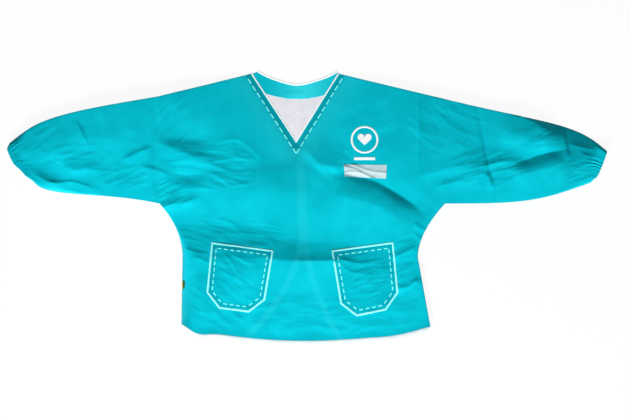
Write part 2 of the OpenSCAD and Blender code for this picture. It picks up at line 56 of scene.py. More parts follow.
# Cut of the smock, as it lies on its back
frontLow, frontHigh = [np.array(c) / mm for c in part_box("front_panel")]
neckY, hemY = frontHigh[1], frontLow[1]
armholeX = {1: frontHigh[0], -1: frontLow[0]}
midX = (armholeX[1] + armholeX[-1]) / 2
smock = dict(
    neckWidth=148, neckShift={1: -4.4, -1: 0}, vDrop=114.5, vShift=-5.5,
    backNeckWidth=132, backNeckDrop=20, backNeckReach={1: 1.05, -1: 1}, backNeckRise=(0.5, 2.9, 0.55),
    shoulderFall=13.8, underarmDrop=218, armpitCurve=(26, 28),
    waistWidth=394, waistDrop=308, waistShift=-6, neckLean=10, hemLean=6,
    hemWidth=417, hemDip=24, hemLift={1: 0, -1: 4.5}, hemSag={1: (3, 0.72, 0.2), -1: (5, 0.84, 0.09)},
    hemEnd=(0.9, 0.1, 0.12),
    partDrop=268, partWidth={1: 56, -1: 98}, partSweep=(0.36, 0.4, 0.19), backGap=0.15,
    cloth=0.8, frontCloth=0.25, fullCloth=(0.35, 12), layers=1.15, loft=12.5, leastLoft=(2, 4))
sleeve = dict(
    length={1: 268, -1: 254}, cuffDrop={1: 129, -1: 125}, cuffTurn={1: 22, -1: 32},
    fullness={1: 61, -1: 67}, fullnessSlope=43, overarmRun=0.6, overarmFall={1: 13.8, -1: 9.8},
    underarmRun={1: (118, 0), -1: (100, 22)}, cuffSag={1: (84, 32), -1: (18, 29)})
cuff = dict(width=60, height=13, length=7.5, puckers=9, pucker=0.9, drawIn=11,
            smoothFrom={1: 0.8, -1: 0.4}, bulge={1: (3, 1), -1: (1, 4)},
            corner={1: (6, 0.7), -1: (3.5, 0.45)}, flare={1: 3.5, -1: 11}, rise={1: 3, -1: 5}, end=0.3,
            sway=(2.6, 1.7), strength=(0.55, 0.45, 2.2), smooth=(0.8, 0.2),
            # dark is painted shade on the wearer's right cuff and the sleeve beside it
            dark={1: 0, -1: 0.5}, darkReach=26)

underarmY = neckY - smock["underarmDrop"]
waistY = neckY - smock["waistDrop"]


def mix(a, b, t):
    return a + (b - a) * t


def smoothstep(t):
    t = np.clip(t, 0, 1)
    return t * t * (3 - 2 * t)


def vec(x, y):
    return np.array([x, y], float)


def bezier(points, t):
    p = np.asarray(points, float)
    t = np.asarray(t, float)[..., None]
    s = 1 - t
    return s**3 * p[0] + 3 * s * s * t * p[1] + 3 * s * t * t * p[2] + t**3 * p[3]


def centreX(y):
    if y > underarmY:
        return midX - smock["neckLean"] * (y - underarmY) / smock["underarmDrop"]
    return midX + smock["hemLean"] * (underarmY - y) / (underarmY - hemY)


def at(offset, drop):
    y = neckY - drop
    return vec(centreX(y) + offset, y)


def neckPoint(s):
    return at(s * smock["neckWidth"] / 2 + smock["neckShift"][s], 0)


vTip = at(smock["vShift"], smock["vDrop"])
hemMid = at(0, neckY - hemY)


def shoulderTip(s):
    root = neckPoint(s)[0] - smock["neckShift"][s]
    fall = abs(armholeX[s] - root) * math.tan(math.radians(smock["shoulderFall"]))
    return vec(armholeX[s], neckY - fall)


def underarm(s):
    return vec(armholeX[s], underarmY)


def waist(s):
    return at(s * smock["waistWidth"] / 2 + smock["waistShift"], smock["waistDrop"])


def hemCorner(s):
    return hemMid + vec(s * smock["hemWidth"] / 2, smock["hemDip"] + smock["hemLift"][s])


def hem(s, u):
    u = np.asarray(u, float)
    sag, place, breadth = smock["hemSag"][s]
    start, reach, fade = smock["hemEnd"]
    wave = smock["hemLift"][s] * smoothstep((u - start) / reach)
    wave = wave - sag * np.exp(-(((u - place) / breadth) ** 2)) * smoothstep((1 - u) / fade)
    return np.stack([mix(hemMid[0], hemCorner(s)[0], u), hemY + smock["hemDip"] * u * u + wave], axis=-1)


def sideLow(s):
    return [mix(hemCorner(s), waist(s), t / 3) for t in range(4)]


def sideHigh(s):
    a, b = waist(s), underarm(s)
    curve = smock["armpitCurve"]
    return [a, a + vec(0, (underarmY - waistY) / 3), b - vec(s * curve[0], curve[1]), b]


# Cuff line of a sleeve: k runs 0 to 1 down the gathered end, back is the distance up the arm
def cuffDown(s):
    turn = math.radians(sleeve["cuffTurn"][s])
    return vec(-s * math.sin(turn), -math.cos(turn))


def cuffOut(s):
    turn = math.radians(sleeve["cuffTurn"][s])
    return vec(s * math.cos(turn), -math.sin(turn))


def cuffLine(s, k, back):
    top = vec(armholeX[s] + s * sleeve["length"][s], neckY - sleeve["cuffDrop"][s])
    return top + cuffDown(s) * cuff["width"] * k - cuffOut(s) * back


def overarm(s):
    fall, slope = math.radians(sleeve["overarmFall"][s]), math.radians(sleeve["fullnessSlope"])
    run = sleeve["overarmRun"] * sleeve["length"][s]
    end = cuffLine(s, -cuff["rise"][s] / cuff["width"], cuff["length"])
    puff = sleeve["fullness"][s] * vec(-s * math.cos(slope), math.sin(slope))
    tip = shoulderTip(s)
    return [tip, tip + run * vec(s * math.cos(fall), -math.sin(fall)), end + puff, end]


def underside(s):
    run, sag = sleeve["underarmRun"][s], sleeve["cuffSag"][s]
    end = cuffLine(s, 1 + cuff["flare"][s] / cuff["width"], cuff["length"])
    return [underarm(s), underarm(s) + vec(s * run[0], run[1]), end - vec(s * sag[0], sag[1]), end]


def smoothLine(points, per=6):
    p = np.array(points, float)
    p = np.vstack([2 * p[0] - p[1], p, 2 * p[-1] - p[-2]])
    out = []
    for a, b, c, d in zip(p[:-3], p[1:-2], p[2:-1], p[3:]):
        for t in np.arange(per) / per:
            out.append(0.5 * (2 * b + (c - a) * t + (2 * a - 5 * b + 4 * c - d) * t * t
                              + (3 * b - a - 3 * c + d) * t**3))
    return np.array(out + [p[-2]])


def traceLine(xy, line):
    # distance to a line, the side it lies on (+1 is left of the way it runs) and how far along
    gap, side, along = np.full(len(xy), 1e9), np.zeros(len(xy)), np.zeros(len(xy))
    lengths = np.hypot(*np.diff(line, axis=0).T)
    start = 0.0
    for a, b, length in zip(line[:-1], line[1:], lengths):
        step = b - a
        t = np.clip((xy - a) @ step / length**2, 0, 1)
        off = xy - a - t[:, None] * step
        away = np.hypot(off[:, 0], off[:, 1])
        closer = away < gap
        gap[closer] = away[closer]
        side[closer] = np.sign(step[0] * off[closer, 1] - step[1] * off[closer, 0])
        along[closer] = start + t[closer] * length
        start += length
    return gap, side, along / lengths.sum()


steps = np.linspace(0, 1, 25)
seamLines = []
for s in sides:
    seamLines.append(np.vstack([bezier(sideLow(s), steps), bezier(sideHigh(s), steps)[1:]]))
    seamLines.append(bezier(underside(s), steps))
    seamLines.append(bezier(overarm(s), steps))
    seamLines.append(np.array([neckPoint(s), shoulderTip(s)]))
vLine = np.array([neckPoint(-1), vTip, neckPoint(1)])
hemLine = np.vstack([hem(-1, np.linspace(1, 0, 30)), hem(1, np.linspace(0, 1, 30)[1:])])

# Folds and creases of the cloth: height, breadth on the left and right of the line, sharpness, line
folds = [
    # waist: a mountain crease that runs down towards the pocket mouths, and the valley above it
    (4.2, 24, 90, 0.4, [(-330, -80), (-230, -82), (-157, -84), (-90, -85), (-20, -87)]),
    (4.2, 22, 46, 0.5, [(-110, -82), (-36, -85), (10, -89), (64, -88), (104, -92)]),
    (2.4, 9, 30, 0.8, [(-80, -84), (-40, -89), (0, -89), (48, -88), (86, -88)]),
    (-4.8, 44, 22, 0.2, [(-310, -26), (-235, -28), (-157, -29), (-90, -34), (-33, -50), (25, -58),
                         (120, -54)]),
    (1.6, 4, 12, 0.6, [(-210, -66), (-185, -74), (-158, -79)]),
    (1.6, 4, 12, 0.6, [(-190, -80), (-174, -87), (-158, -94)]),
    (3.0, 26, 30, 0.1, [(-190, 18), (-130, 28), (-50, 26), (50, 26)]),
    (3.2, 16, 44, 0.1, [(-130, 44), (-60, 56), (0, 60), (50, 46)]),
    (6.5, 62, 120, 0.1, [(-330, -146), (-250, -148), (-195, -150), (-130, -156)]),
    (8.0, 95, 20, 0.1, [(-330, -228), (-250, -228), (-190, -228), (-100, -232)]),
    # left chest of the picture: a broad ridge, and thin creases that spread from its end
    (5.6, 18, 24, 0.4, [(-262, 110), (-236, 104), (-206, 92), (-176, 80), (-140, 74)]),
    (-2.6, 20, 14, 0.2, [(-250, 110), (-200, 116), (-150, 106)]),
    (-3.4, 16, 12, 0.2, [(-232, 44), (-190, 56), (-158, 54)]),
    (3.0, 20, 14, 0.3, [(-218, 26), (-185, 33), (-152, 31)]),
    (1.6, 9, 2.5, 0.7, [(-156, 108), (-119, 113), (-95, 99), (-72, 76)]),
    (1.6, 9, 2.5, 0.7, [(-160, 77), (-111, 82), (-72, 79)]),
    (1.5, 8, 2.5, 0.7, [(-170, 75), (-150, 68), (-124, 58)]),
    (1.7, 9, 2.5, 0.7, [(-166, 62), (-139, 44), (-123, 36), (-84, 42)]),
    (5.0, 10, 12, 0.5, [(-262, -10), (-230, 3), (-196, 10), (-172, 24)]),
    # left sleeve of the picture
    (5.0, 9, 70, 0.1, [(-424, 152), (-374, 164), (-262, 187), (-150, 210)]),
    (3.2, 50, 20, 0.1, [(-510, 84), (-450, 92), (-380, 98)]),
    (4.8, 8, 18, 0.5, [(-496, 78), (-476, 66), (-450, 52), (-424, 41), (-398, 38)]),
    (1.7, 2.5, 10, 0.7, [(-446, 42), (-412, 42), (-390, 43), (-366, 36), (-342, 26)]),
    (2.8, 5, 14, 0.6, [(-312, 76), (-281, 92), (-252, 102)]),
    (1.8, 3, 10, 0.6, [(-388, 150), (-373, 122), (-365, 102)]),
    (2.6, 16, 10, 0.3, [(-412, 60), (-372, 65), (-330, 60)]),
    (2.2, 20, 22, 0.2, [(-420, 112), (-360, 116), (-290, 112)]),
    (1.8, 4, 12, 0.5, [(-280, 70), (-250, 62), (-222, 50)]),
    # long packing creases down the cloth
    (-1.7, 6, 6, 0.9, [(-254, 200), (-250, 130), (-252, 80), (-248, -4)]),
    (0.9, 4, 4, 0.9, [(-171, 206), (-171, 150), (-172, 100)]),
    (0.9, 4, 4, 0.9, [(-78, 180), (-77, 90), (-78, 6)]),
    (1.6, 6, 4, 0.9, [(187, 206), (187, 120), (186, 40)]),
    (-1.8, 14, 4, 0.9, [(281, 186), (294, 118), (302, 77), (319, 2)]),
    # right chest of the picture: a crease from the neck, then the long diagonal
    (9.0, 26, 10, 0.4, [(-16, 112), (10, 84), (28, 71), (72, 64)]),
    (6.4, 25, 36, 0.2, [(20, 30), (80, 14), (120, 2), (152, -18), (184, -46)]),
    (-6.0, 22, 10, 0.6, [(34, 62), (76, 53), (104, 47), (124, 39), (156, 20), (182, 2), (206, -24)]),
    (2.7, 50, 10, 0.5, [(176, 46), (187, 52), (243, 66), (300, 80)]),
    (2.4, 6, 10, 0.6, [(206, 32), (250, 44), (300, 58)]),
    (1.6, 4, 6, 0.6, [(176, -24), (190, -34), (202, -42)]),
    (1.4, 4, 6, 0.6, [(178, -44), (190, -52), (200, -60)]),
    # right sleeve of the picture
    (3.6, 24, 36, 0.1, [(215, 62), (270, 58), (330, 60), (380, 68), (430, 82), (480, 94)]),
    (2.4, 5, 8, 0.6, [(250, 58), (302, 71), (352, 84)]),
    (2.4, 5, 8, 0.6, [(262, 36), (298, 56), (318, 18)]),
    (5.2, 14, 40, 0.3, [(334, 50), (368, 57), (402, 66), (452, 82)]),
    (-5.4, 18, 10, 0.6, [(336, 72), (366, 79), (398, 90), (446, 99)]),
    (6.0, 30, 22, 0.1, [(308, 134), (332, 127), (370, 116), (434, 104)]),
    (0.8, 3, 2, 0.8, [(382, 114), (398, 124), (412, 134)]),
    (2.6, 4, 12, 0.6, [(426, 134), (433, 103), (436, 78)]),
    (4.5, 14, 8, 0.7, [(432, 108), (467, 99), (506, 95)]),
    (1.6, 4, 6, 0.6, [(452, 92), (470, 86), (500, 77)]),
    (1.6, 4, 8, 0.5, [(440, 60), (464, 70), (492, 80)]),
    # waist on the right of the picture
    (2.6, 5, 10, 0.6, [(140, -88), (150, -82), (174, -70), (190, -60)]),
    (3.2, 5, 10, 0.6, [(146, -140), (157, -135), (173, -130), (192, -112)]),
]

# Patches of fine wrinkles: middle, half extents, turn in degrees, length and breadth of a wrinkle, height
wrinkles = [
    (-160, 70, 90, 52, -6, 60, 13, 0.8),
    (-225, 140, 50, 50, 50, 50, 15, 0.6),
    (-372, 82, 70, 30, 6, 34, 15, 0.6),
    (-300, 52, 60, 26, 14, 46, 12, 0.6),
    (-440, 105, 50, 40, 30, 60, 18, 0.5),
    (-232, 24, 34, 28, 24, 28, 9, 0.8),
    (235, 140, 75, 55, -32, 52, 20, 0.8),
    (300, 66, 70, 40, 14, 50, 14, 0.8),
    (390, 110, 60, 36, 18, 46, 15, 0.6),
    (460, 66, 40, 34, 22, 40, 10, 0.6),
    (40, 70, 60, 40, -35, 46, 14, 0.6),
    (-120, -46, 110, 34, -10, 54, 14, 0.7),
    (172, -100, 40, 66, 22, 34, 12, 0.7),
    (40, -180, 190, 40, 4, 70, 22, 0.6),
    (-140, -150, 70, 60, -30, 40, 16, 0.5),
    (100, 140, 70, 60, 40, 70, 22, 0.5),
]

# How steeply the cloth turns down at its seams, with broader places: x, y, radius, more breadth
edgeTurn = dict(breadth=0.1, share=0.84, slowBreadth=26, rim=0.4, broad=[
    (456, 120, 46, 26), (492, 102, 30, 12), (-484, 106, 18, 4), (-425, 30, 40, 2), (-208, -138, 54, 13)])
foldReach = 3.2  # breadths of a fold, beyond which it no longer lifts the cloth
sharpFall = 1.6  # how fast a sharp fold falls away from its line
crumples = [(42, 3.1, 0.7), (15, 7.7, 0.3), (7, 1.9, 0.09)]  # size, layer of the noise, height


def foldSwell(xy, fold, fade=0.3):
    # rise of one fold, which dies away over the fade share of its length at both ends
    height, up, down, sharp, points = fold
    gap, side, along = traceLine(xy, smoothLine(points))
    q = gap / np.where(side >= 0, up, down)
    ends = smoothstep(along / fade) * smoothstep((1 - along) / fade) if fade else 1
    return height * ends * mix(np.exp(-q * q), np.exp(-sharpFall * q), sharp)


def foldRise(xy):
    rise = np.zeros(len(xy))
    for fold in folds:
        line = smoothLine(fold[-1])
        reach = foldReach * max(fold[1], fold[2])
        near = np.all((xy > line.min(0) - reach) & (xy < line.max(0) + reach), axis=1)
        if near.any():
            rise[near] += foldSwell(xy[near], fold)
    return rise


def crumple(xy):
    rise = np.zeros(len(xy))
    for size, layer, height in crumples:
        rise += height * np.array([noise.noise((x / size, y / size, layer)) for x, y in xy])
    return rise


wrinkleRidge = dict(top=1.4, main=2.4, second=1.1, finer=(1.7, 2.1), layer=5.3, secondLayer=(9.1, 4), rim=1.6)


def wrinkleRise(xy, patches):
    g = wrinkleRidge
    (fineA, fineB), (step, first) = g["finer"], g["secondLayer"]
    rise = np.zeros(len(xy))
    for i, (x, y, halfX, halfY, turn, length, breadth, height) in enumerate(patches):
        off = xy - vec(x, y)
        inside = 1 - (off[:, 0] / halfX) ** 2 - (off[:, 1] / halfY) ** 2
        near = inside > 0
        c, s = math.cos(math.radians(turn)), math.sin(math.radians(turn))
        u, v = off[near] @ vec(c, s) / length, off[near] @ vec(-s, c) / breadth
        ridge = np.array([g["top"] - g["main"] * abs(noise.noise((a, b, g["layer"] * i)))
                          - g["second"] * abs(noise.noise((fineA * a, fineB * b, step * i + first)))
                          for a, b in zip(u, v)])
        rise[near] += height * ridge * smoothstep(inside[near] * g["rim"])
    return rise


def seamGap(xy):
    return np.min([traceLine(xy, w)[0] for w in seamLines], axis=0)


vEase = dict(share=0.995, near=0.22, nearReach=7, reach=100, level=8)  # the cloth lies lower beside the V


def seamRise(xy):
    gap = seamGap(xy)
    breadth = np.full(len(xy), float(edgeTurn["breadth"]))
    for x, y, radius, more in edgeTurn["broad"]:
        breadth += more * np.exp(-((xy[:, 0] - x) ** 2 + (xy[:, 1] - y) ** 2) / radius**2)
    share = edgeTurn["share"]
    return share * (1 - np.exp(-gap / breadth)) + (1 - share) * (1 - np.exp(-gap / edgeTurn["slowBreadth"]))


def clothTop(xy):
    rise = smock["loft"] + foldRise(xy) + wrinkleRise(xy, wrinkles) + crumple(xy)
    least, soft = smock["leastLoft"]
    rise = 0.5 * (rise + least + np.sqrt((rise - least) ** 2 + soft))
    gap, level = traceLine(xy, vLine)[0], vEase["level"]
    gap = np.sqrt(gap * gap + level * level) - level
    ease = mix(np.exp(-gap / vEase["reach"]), np.exp(-gap / vEase["nearReach"]), vEase["near"])
    ease = 1 - vEase["share"] * ease
    return smock["layers"] + rise * ease * seamRise(xy)


def clothThick(xy):
    # thin beside the V and the seams, where the layers meet
    edge = np.minimum(traceLine(xy, vLine)[0], seamGap(xy))
    more, reach = smock["fullCloth"]
    return smock["frontCloth"] + more * smoothstep(edge / reach)


# Meshes
creaseAngle = 52  # edges sharper than this are shaded as edges


def makeObject(name, points, faces, materials, indices=None, marks=None):
    mesh = bpy.data.meshes.new(name)
    mesh.from_pydata((np.asarray(points, float) * mm).tolist(), [], faces)
    for m in materials:
        mesh.materials.append(m)
    mesh.polygons.foreach_set("use_smooth", [True] * len(mesh.polygons))
    if indices is not None:
        mesh.polygons.foreach_set("material_index", indices)
    for key, values in (marks or {}).items():
        layer = mesh.attributes.new(key, "FLOAT", "POINT")
        layer.data.foreach_set("value", np.asarray(values, np.float32))
    mesh.update()
    mesh.set_sharp_from_angle(angle=math.radians(creaseAngle))
    obj = bpy.data.objects.new(name, mesh)
    bpy.context.scene.collection.objects.link(obj)
    return obj


def facedOutward(obj):
    work = bmesh.new()
    work.from_mesh(obj.data)
    bmesh.ops.recalc_face_normals(work, faces=work.faces)
    work.to_mesh(obj.data)
    work.free()
    return obj


def gridFaces(rows, cols):
    return [(a, a + 1, a + cols + 1, a + cols)
            for a in (j * cols + i for j in range(rows - 1) for i in range(cols - 1))]


def sheetObject(name, xy, top, low, outer, inner, marks=None):
    # a closed sheet over a grid whose rows run towards +Y and columns towards +X
    rows, cols = top.shape
    n = rows * cols
    upper = np.dstack([xy, top]).reshape(-1, 3)
    under = np.dstack([xy, low]).reshape(-1, 3)
    rim = list(range(cols - 1)) + [j * cols + cols - 1 for j in range(rows - 1)]
    rim += [n - 1 - i for i in range(cols - 1)] + [n - cols - j * cols for j in range(rows - 1)]
    faces = gridFaces(rows, cols)
    lower = [tuple(n + k for k in reversed(f)) for f in faces]
    edge = [(a, a + n, b + n, b) for a, b in zip(rim, rim[1:] + rim[:1])]
    # the cut edge and the cells beside it keep the coloured face
    rimCells = [outer is teal and (j in (0, 1, rows - 3, rows - 2) or i in (0, 1, cols - 3, cols - 2))
                for j in range(rows - 1) for i in range(cols - 1)]
    edgeIndex = 1 if inner is teal else 0
    indices = [0] * len(faces) + [0 if k else 1 for k in rimCells] + [edgeIndex] * len(edge)
    marks = {k: np.tile(np.ravel(v), 2) for k, v in (marks or {}).items()}
    return makeObject(name, np.vstack([upper, under]), faces + lower + edge, [outer, inner], indices, marks)


def loftFaces(n, k, start=0, closed=False):
    # a skin over n closed sections of k points, capped unless the row itself closes
    faces = []
    for j in range(n if closed else n - 1):
        a, b = start + j * k, start + ((j + 1) % n) * k
        faces += [(a + i, a + (i + 1) % k, b + (i + 1) % k, b + i) for i in range(k)]
    if not closed:
        faces += [tuple(range(start, start + k)), tuple(range(start + (n - 1) * k, start + n * k))]
    return faces


def loftObject(name, sections, material, closed=False, marks=None):
    sections = np.asarray(sections, float)
    faces = loftFaces(*sections.shape[:2], closed=closed)
    return facedOutward(makeObject(name, sections.reshape(-1, 3), faces, [material], marks=marks))


def plainMarks(n, doubledAndShade=0.0):
    return dict(glow=np.zeros(n), doubledAndShade=np.full(n, doubledAndShade))


# Materials
def newMaterial(name):
    mat = bpy.data.materials.new(name)
    mat.use_nodes = True
    return mat, mat.node_tree.nodes, mat.node_tree.links, mat.node_tree.nodes["Principled BSDF"]


def addNode(nodes, kind, **values):
    node = nodes.new(kind)
    for key, value in values.items():
        if key in node.inputs:
            node.inputs[key].default_value = value
        else:
            setattr(node, key, value)
    return node


def weaveHeight(nodes, links, thread, turn=0.0):
    # two crossed sets of threads, thread apart
    place = addNode(nodes, "ShaderNodeTexCoord")
    spin = addNode(nodes, "ShaderNodeMapping")
    spin.inputs["Rotation"].default_value = (0, 0, math.radians(turn))
    links.new(place.outputs["Object"], spin.inputs["Vector"])
    waves = []
    for axis in ("X", "Y"):
        wave = addNode(nodes, "ShaderNodeTexWave", bands_direction=axis, Scale=math.pi / (10 * thread * mm),
                       Distortion=0.6, Detail=1.0)
        links.new(spin.outputs["Vector"], wave.inputs["Vector"])
        waves.append(wave)
    both = addNode(nodes, "ShaderNodeMath", operation="MAXIMUM")
    links.new(waves[0].outputs["Fac"], both.inputs[0])
    links.new(waves[1].outputs["Fac"], both.inputs[1])
    return both.outputs[0], place.outputs["Object"]


def mottle(nodes, links, place, scale, low, high):
    cloud = addNode(nodes, "ShaderNodeTexNoise", Scale=scale, Detail=4.0, Roughness=0.55)
    links.new(place, cloud.inputs["Vector"])
    ramp = addNode(nodes, "ShaderNodeValToRGB")
    ramp.color_ramp.elements[0].position, ramp.color_ramp.elements[1].position = 0.3, 0.7
    ramp.color_ramp.elements[0].color = (*low, 1)
    ramp.color_ramp.elements[1].color = (*high, 1)
    links.new(cloud.outputs["Fac"], ramp.inputs["Fac"])
    return ramp.outputs["Color"]


def tintBy(nodes, links, colour, mark, tint):
    # pulls a colour towards a tint where the mesh is marked
    amount = addNode(nodes, "ShaderNodeAttribute", attribute_name=mark)
    blend = addNode(nodes, "ShaderNodeMix", data_type="RGBA")
    links.new(amount.outputs["Fac"], blend.inputs[0])
    links.new(colour, blend.inputs[6])
    blend.inputs[7].default_value = (*tint, 1)
    return blend.outputs[2]


weaveDepth = 0.3 * mm


def finishCloth(nodes, links, skin, colour, height, weave, finish):
    bump = addNode(nodes, "ShaderNodeBump", Strength=weave, Distance=weaveDepth)
    links.new(height, bump.inputs["Height"])
    links.new(bump.outputs["Normal"], skin.inputs["Normal"])
    links.new(colour, skin.inputs["Base Color"])
    for key, value in finish.items():
        skin.inputs[key].default_value = value


# glow lightens the teal where the back's pale edges show through, and it paints highlights beside the V and
# on the neck facing; the darker tint marks doubled cloth, and it paints shade along the seams, the hem and
# the wearer's right cuff
clothLook = dict(
    low=(0.001, 0.455, 0.56), high=(0.002, 0.525, 0.635), glow=(0.03, 0.70, 0.80), doubledAndShade=(0.0, 0.24, 0.31),
    mottle=26, thread=0.7, weave=0.12, finish={
        "Roughness": 0.62, "Specular IOR Level": 0.12, "Specular Tint": (0.02, 0.95, 1.0, 1),
        "Sheen Weight": 0.12, "Sheen Roughness": 0.4, "Sheen Tint": (0.0, 0.9, 1.0, 1)})
paleLook = dict(mottle=60, specular=0.25)


def tealCloth():
    mat, nodes, links, skin = newMaterial("tealCloth")
    height, place = weaveHeight(nodes, links, clothLook["thread"])
    colour = mottle(nodes, links, place, clothLook["mottle"], clothLook["low"], clothLook["high"])
    # marked tints: glow, which is partly a painted highlight, and the darker tint, which is partly painted
    # shade
    for mark in ("glow", "doubledAndShade"):
        colour = tintBy(nodes, links, colour, mark, clothLook[mark])
    finishCloth(nodes, links, skin, colour, height, clothLook["weave"], clothLook["finish"])
    return mat


def paleCloth(name, low, high, thread, weave, roughness, turn=0.0, sheen=0.1):
    mat, nodes, links, skin = newMaterial(name)
    height, place = weaveHeight(nodes, links, thread, turn)
    colour = mottle(nodes, links, place, paleLook["mottle"], low, high)
    finishCloth(nodes, links, skin, colour, height, weave, {
        "Roughness": roughness, "Specular IOR Level": paleLook["specular"], "Sheen Weight": sheen})
    return mat


teal = tealCloth()
innerWhite = paleCloth("innerWhite", (0.74, 0.74, 0.80), (0.82, 0.82, 0.88), 0.7, 0.12, 0.75)
tapeWhite = paleCloth("tapeWhite", (0.88, 0.94, 0.95), (0.94, 0.97, 0.97), 0.9, 0.25, 0.7, turn=45)
# the white hem tape is coloured grey-cyan: painted shade of its rolled edge, and the teal showing through the
# thin tape
hemWhite = paleCloth("hemWhite", (0.50, 0.60, 0.63), (0.58, 0.67, 0.70), 0.9, 0.25, 0.7, turn=45)
dashCyan = paleCloth("dashCyan", (0.16, 0.96, 0.98), (0.22, 0.99, 1.0), 0.45, 0.2, 0.6, turn=30)
paleTrim = paleCloth("paleTrim", (0.29, 0.95, 0.97), (0.36, 0.99, 0.99), 0.9, 0.15, 0.7, turn=45)
satinWhite = paleCloth("satinWhite", (0.41, 0.57, 0.61), (0.50, 0.65, 0.69), 0.35, 0.08, 0.4, sheen=0.2)
printWhite = paleCloth("printWhite", (0.90, 0.92, 0.93), (0.97, 0.98, 0.98), 0.7, 0.1, 0.45)
labelGreen = paleCloth("labelGreen", (0.01, 0.06, 0.03), (0.02, 0.12, 0.05), 0.5, 0.4, 0.6)
labelGold = paleCloth("labelGold", (0.55, 0.42, 0.02), (0.70, 0.55, 0.05), 0.5, 0.4, 0.6)
hookLoop = paleCloth("hookLoop", (0.80, 0.80, 0.80), (0.90, 0.90, 0.90), 0.8, 0.8, 0.8)
elasticRib = paleCloth("elasticRib", (0.70, 0.68, 0.62), (0.80, 0.78, 0.72), 1.0, 0.6, 0.7)
print("materials made")


# Front panel
frontGrid = dict(neckCols=35, shoulderCols=84, rows=224, neckShare=0.36, waistShare=0.3, underarmShare=0.54,
                 across=240, down=400)


def coons(bottom, top, left, right, u, v):
    # a patch between four edges, each a function of its own parameter
    b, t, l, r = bottom(u), top(u), left(v), right(v)
    u, v = u[..., None], v[..., None]
    corners = (1 - u) * (1 - v) * b[0, 0] + u * (1 - v) * b[0, -1] + (1 - u) * v * t[0, 0] + u * v * t[0, -1]
    return (1 - v) * b + v * t + (1 - u) * l + u * r - corners


def bodySide(s, v):
    w, k = frontGrid["waistShare"], frontGrid["underarmShare"]
    low = bezier(sideLow(s), np.clip(v / w, 0, 1))
    high = bezier(sideHigh(s), np.clip((v - w) / (k - w), 0, 1))
    arm = mix(underarm(s), shoulderTip(s), np.clip((v - k) / (1 - k), 0, 1)[..., None])
    return np.where((v <= w)[..., None], low, np.where((v <= k)[..., None], high, arm))


def topEdge(s, u, neck):
    # neck as far as its share of the edge, then the shoulder
    k = frontGrid["neckShare"]
    shoulder = mix(neckPoint(s), shoulderTip(s), np.clip((u - k) / (1 - k), 0, 1)[..., None])
    return np.where((u <= k)[..., None], neck(np.clip(u / k, 0, 1)), shoulder)


def vLeg(s, t):
    return mix(vTip, neckPoint(s), t[..., None])


def frontHalf(s):
    g = frontGrid
    rim = edgeTurn["rim"]
    u = np.concatenate([np.linspace(0, g["neckShare"], g["neckCols"]),
                        np.linspace(g["neckShare"], 1, g["shoulderCols"])[1:-1], [1 - rim / g["across"], 1]])
    v = np.concatenate([np.linspace(0, 1, g["rows"])[:-1], [1 - rim / g["down"], 1]])
    u, v = np.meshgrid(u, v)
    return coons(lambda a: hem(s, a), lambda a: topEdge(s, a, lambda t: vLeg(s, t)),
                 lambda b: mix(hemMid, vTip, b[..., None]), lambda b: bodySide(s, b), u, v)


def backEdge(s):
    e, w = s * smock["backGap"], smock["partWidth"][s]
    part, foot = at(e, smock["partDrop"]), hem(s, w / (smock["hemWidth"] / 2))
    h = part[1] - foot[1]
    down, inward, up = smock["partSweep"]
    sweep = [part, part - vec(0, down * h), foot + vec(-s * inward * w, up * h), foot]
    neck = smock["backNeckDrop"]
    middle = (neck + smock["partDrop"]) / 2
    return np.vstack([at(e, neck), at(e, middle), bezier(sweep, np.linspace(0, 1, 17))])


# edgeGlow is the back halves' pale edges showing through; the glow beside the V is a painted highlight;
# seamDark and hemDark are painted shade, and the seams are partly doubled cloth too
showing = dict(edgeGlow=0.16, edgeFlat=1.5, edgeReach=3.5, tapeWidth=5, vBand=(3.0, 10, 2, 3), vDark=0.44,
               vPaintedHighlight=(0.22, 13, 24, 3), seamDark=0.55, seamReach=1.4, hemDark=(0.32, 11))


def softBand(gap, low, high, rampIn, rampOut):
    return smoothstep((gap - low + rampIn) / rampIn) * (1 - smoothstep((gap - high) / rampOut))


def clothMarks(xy):
    # what shows through, and painted light: the pale edges of the back halves show through, the strip by the
    # V is doubled, a painted highlight lies beside the V, and painted shade darkens the seams, which are
    # partly doubled cloth, and the hem
    glow = np.zeros(len(xy))
    for s in sides:
        gap, side = traceLine(xy, backEdge(s))[:2]
        middle = np.abs(gap * np.where(side * s > 0, 1, -1) - showing["tapeWidth"] / 2)
        line = np.exp(-(np.maximum(middle - showing["edgeFlat"], 0) / showing["edgeReach"]) ** 2)
        glow = np.maximum(glow, showing["edgeGlow"] * line)
    gapV = traceLine(xy, vLine)[0]
    # painted highlight: the cloth beside the V is made lighter
    share, start, reach, ramp = showing["vPaintedHighlight"]
    beside = smoothstep((gapV - start + ramp) / ramp) * np.exp(-(np.maximum(gapV - start, 0) / reach) ** 2)
    glow = np.maximum(glow, share * beside)
    doubledAndShade = showing["vDark"] * softBand(gapV, *showing["vBand"])
    # painted shade along the hem and the seams; the seams are doubled cloth as well
    gapHem = traceLine(xy, hemLine)[0]
    share, reach = showing["hemDark"]
    doubledAndShade = np.maximum(doubledAndShade, share * np.exp(-(gapHem / reach) ** 2))
    rim = np.minimum(seamGap(xy), gapHem)
    doubledAndShade = np.maximum(doubledAndShade, showing["seamDark"] * np.exp(-(rim / showing["seamReach"]) ** 2))
    return dict(glow=glow, doubledAndShade=doubledAndShade)


xy = np.hstack([frontHalf(-1)[:, :0:-1], frontHalf(1)])
flat = xy.reshape(-1, 2)
top = clothTop(flat).reshape(xy.shape[:2])
low = top - clothThick(flat).reshape(top.shape)
front = sheetObject("frontPanel", xy, top, low, teal, innerWhite, clothMarks(flat))
print("front panel:", len(front.data.vertices), "points")


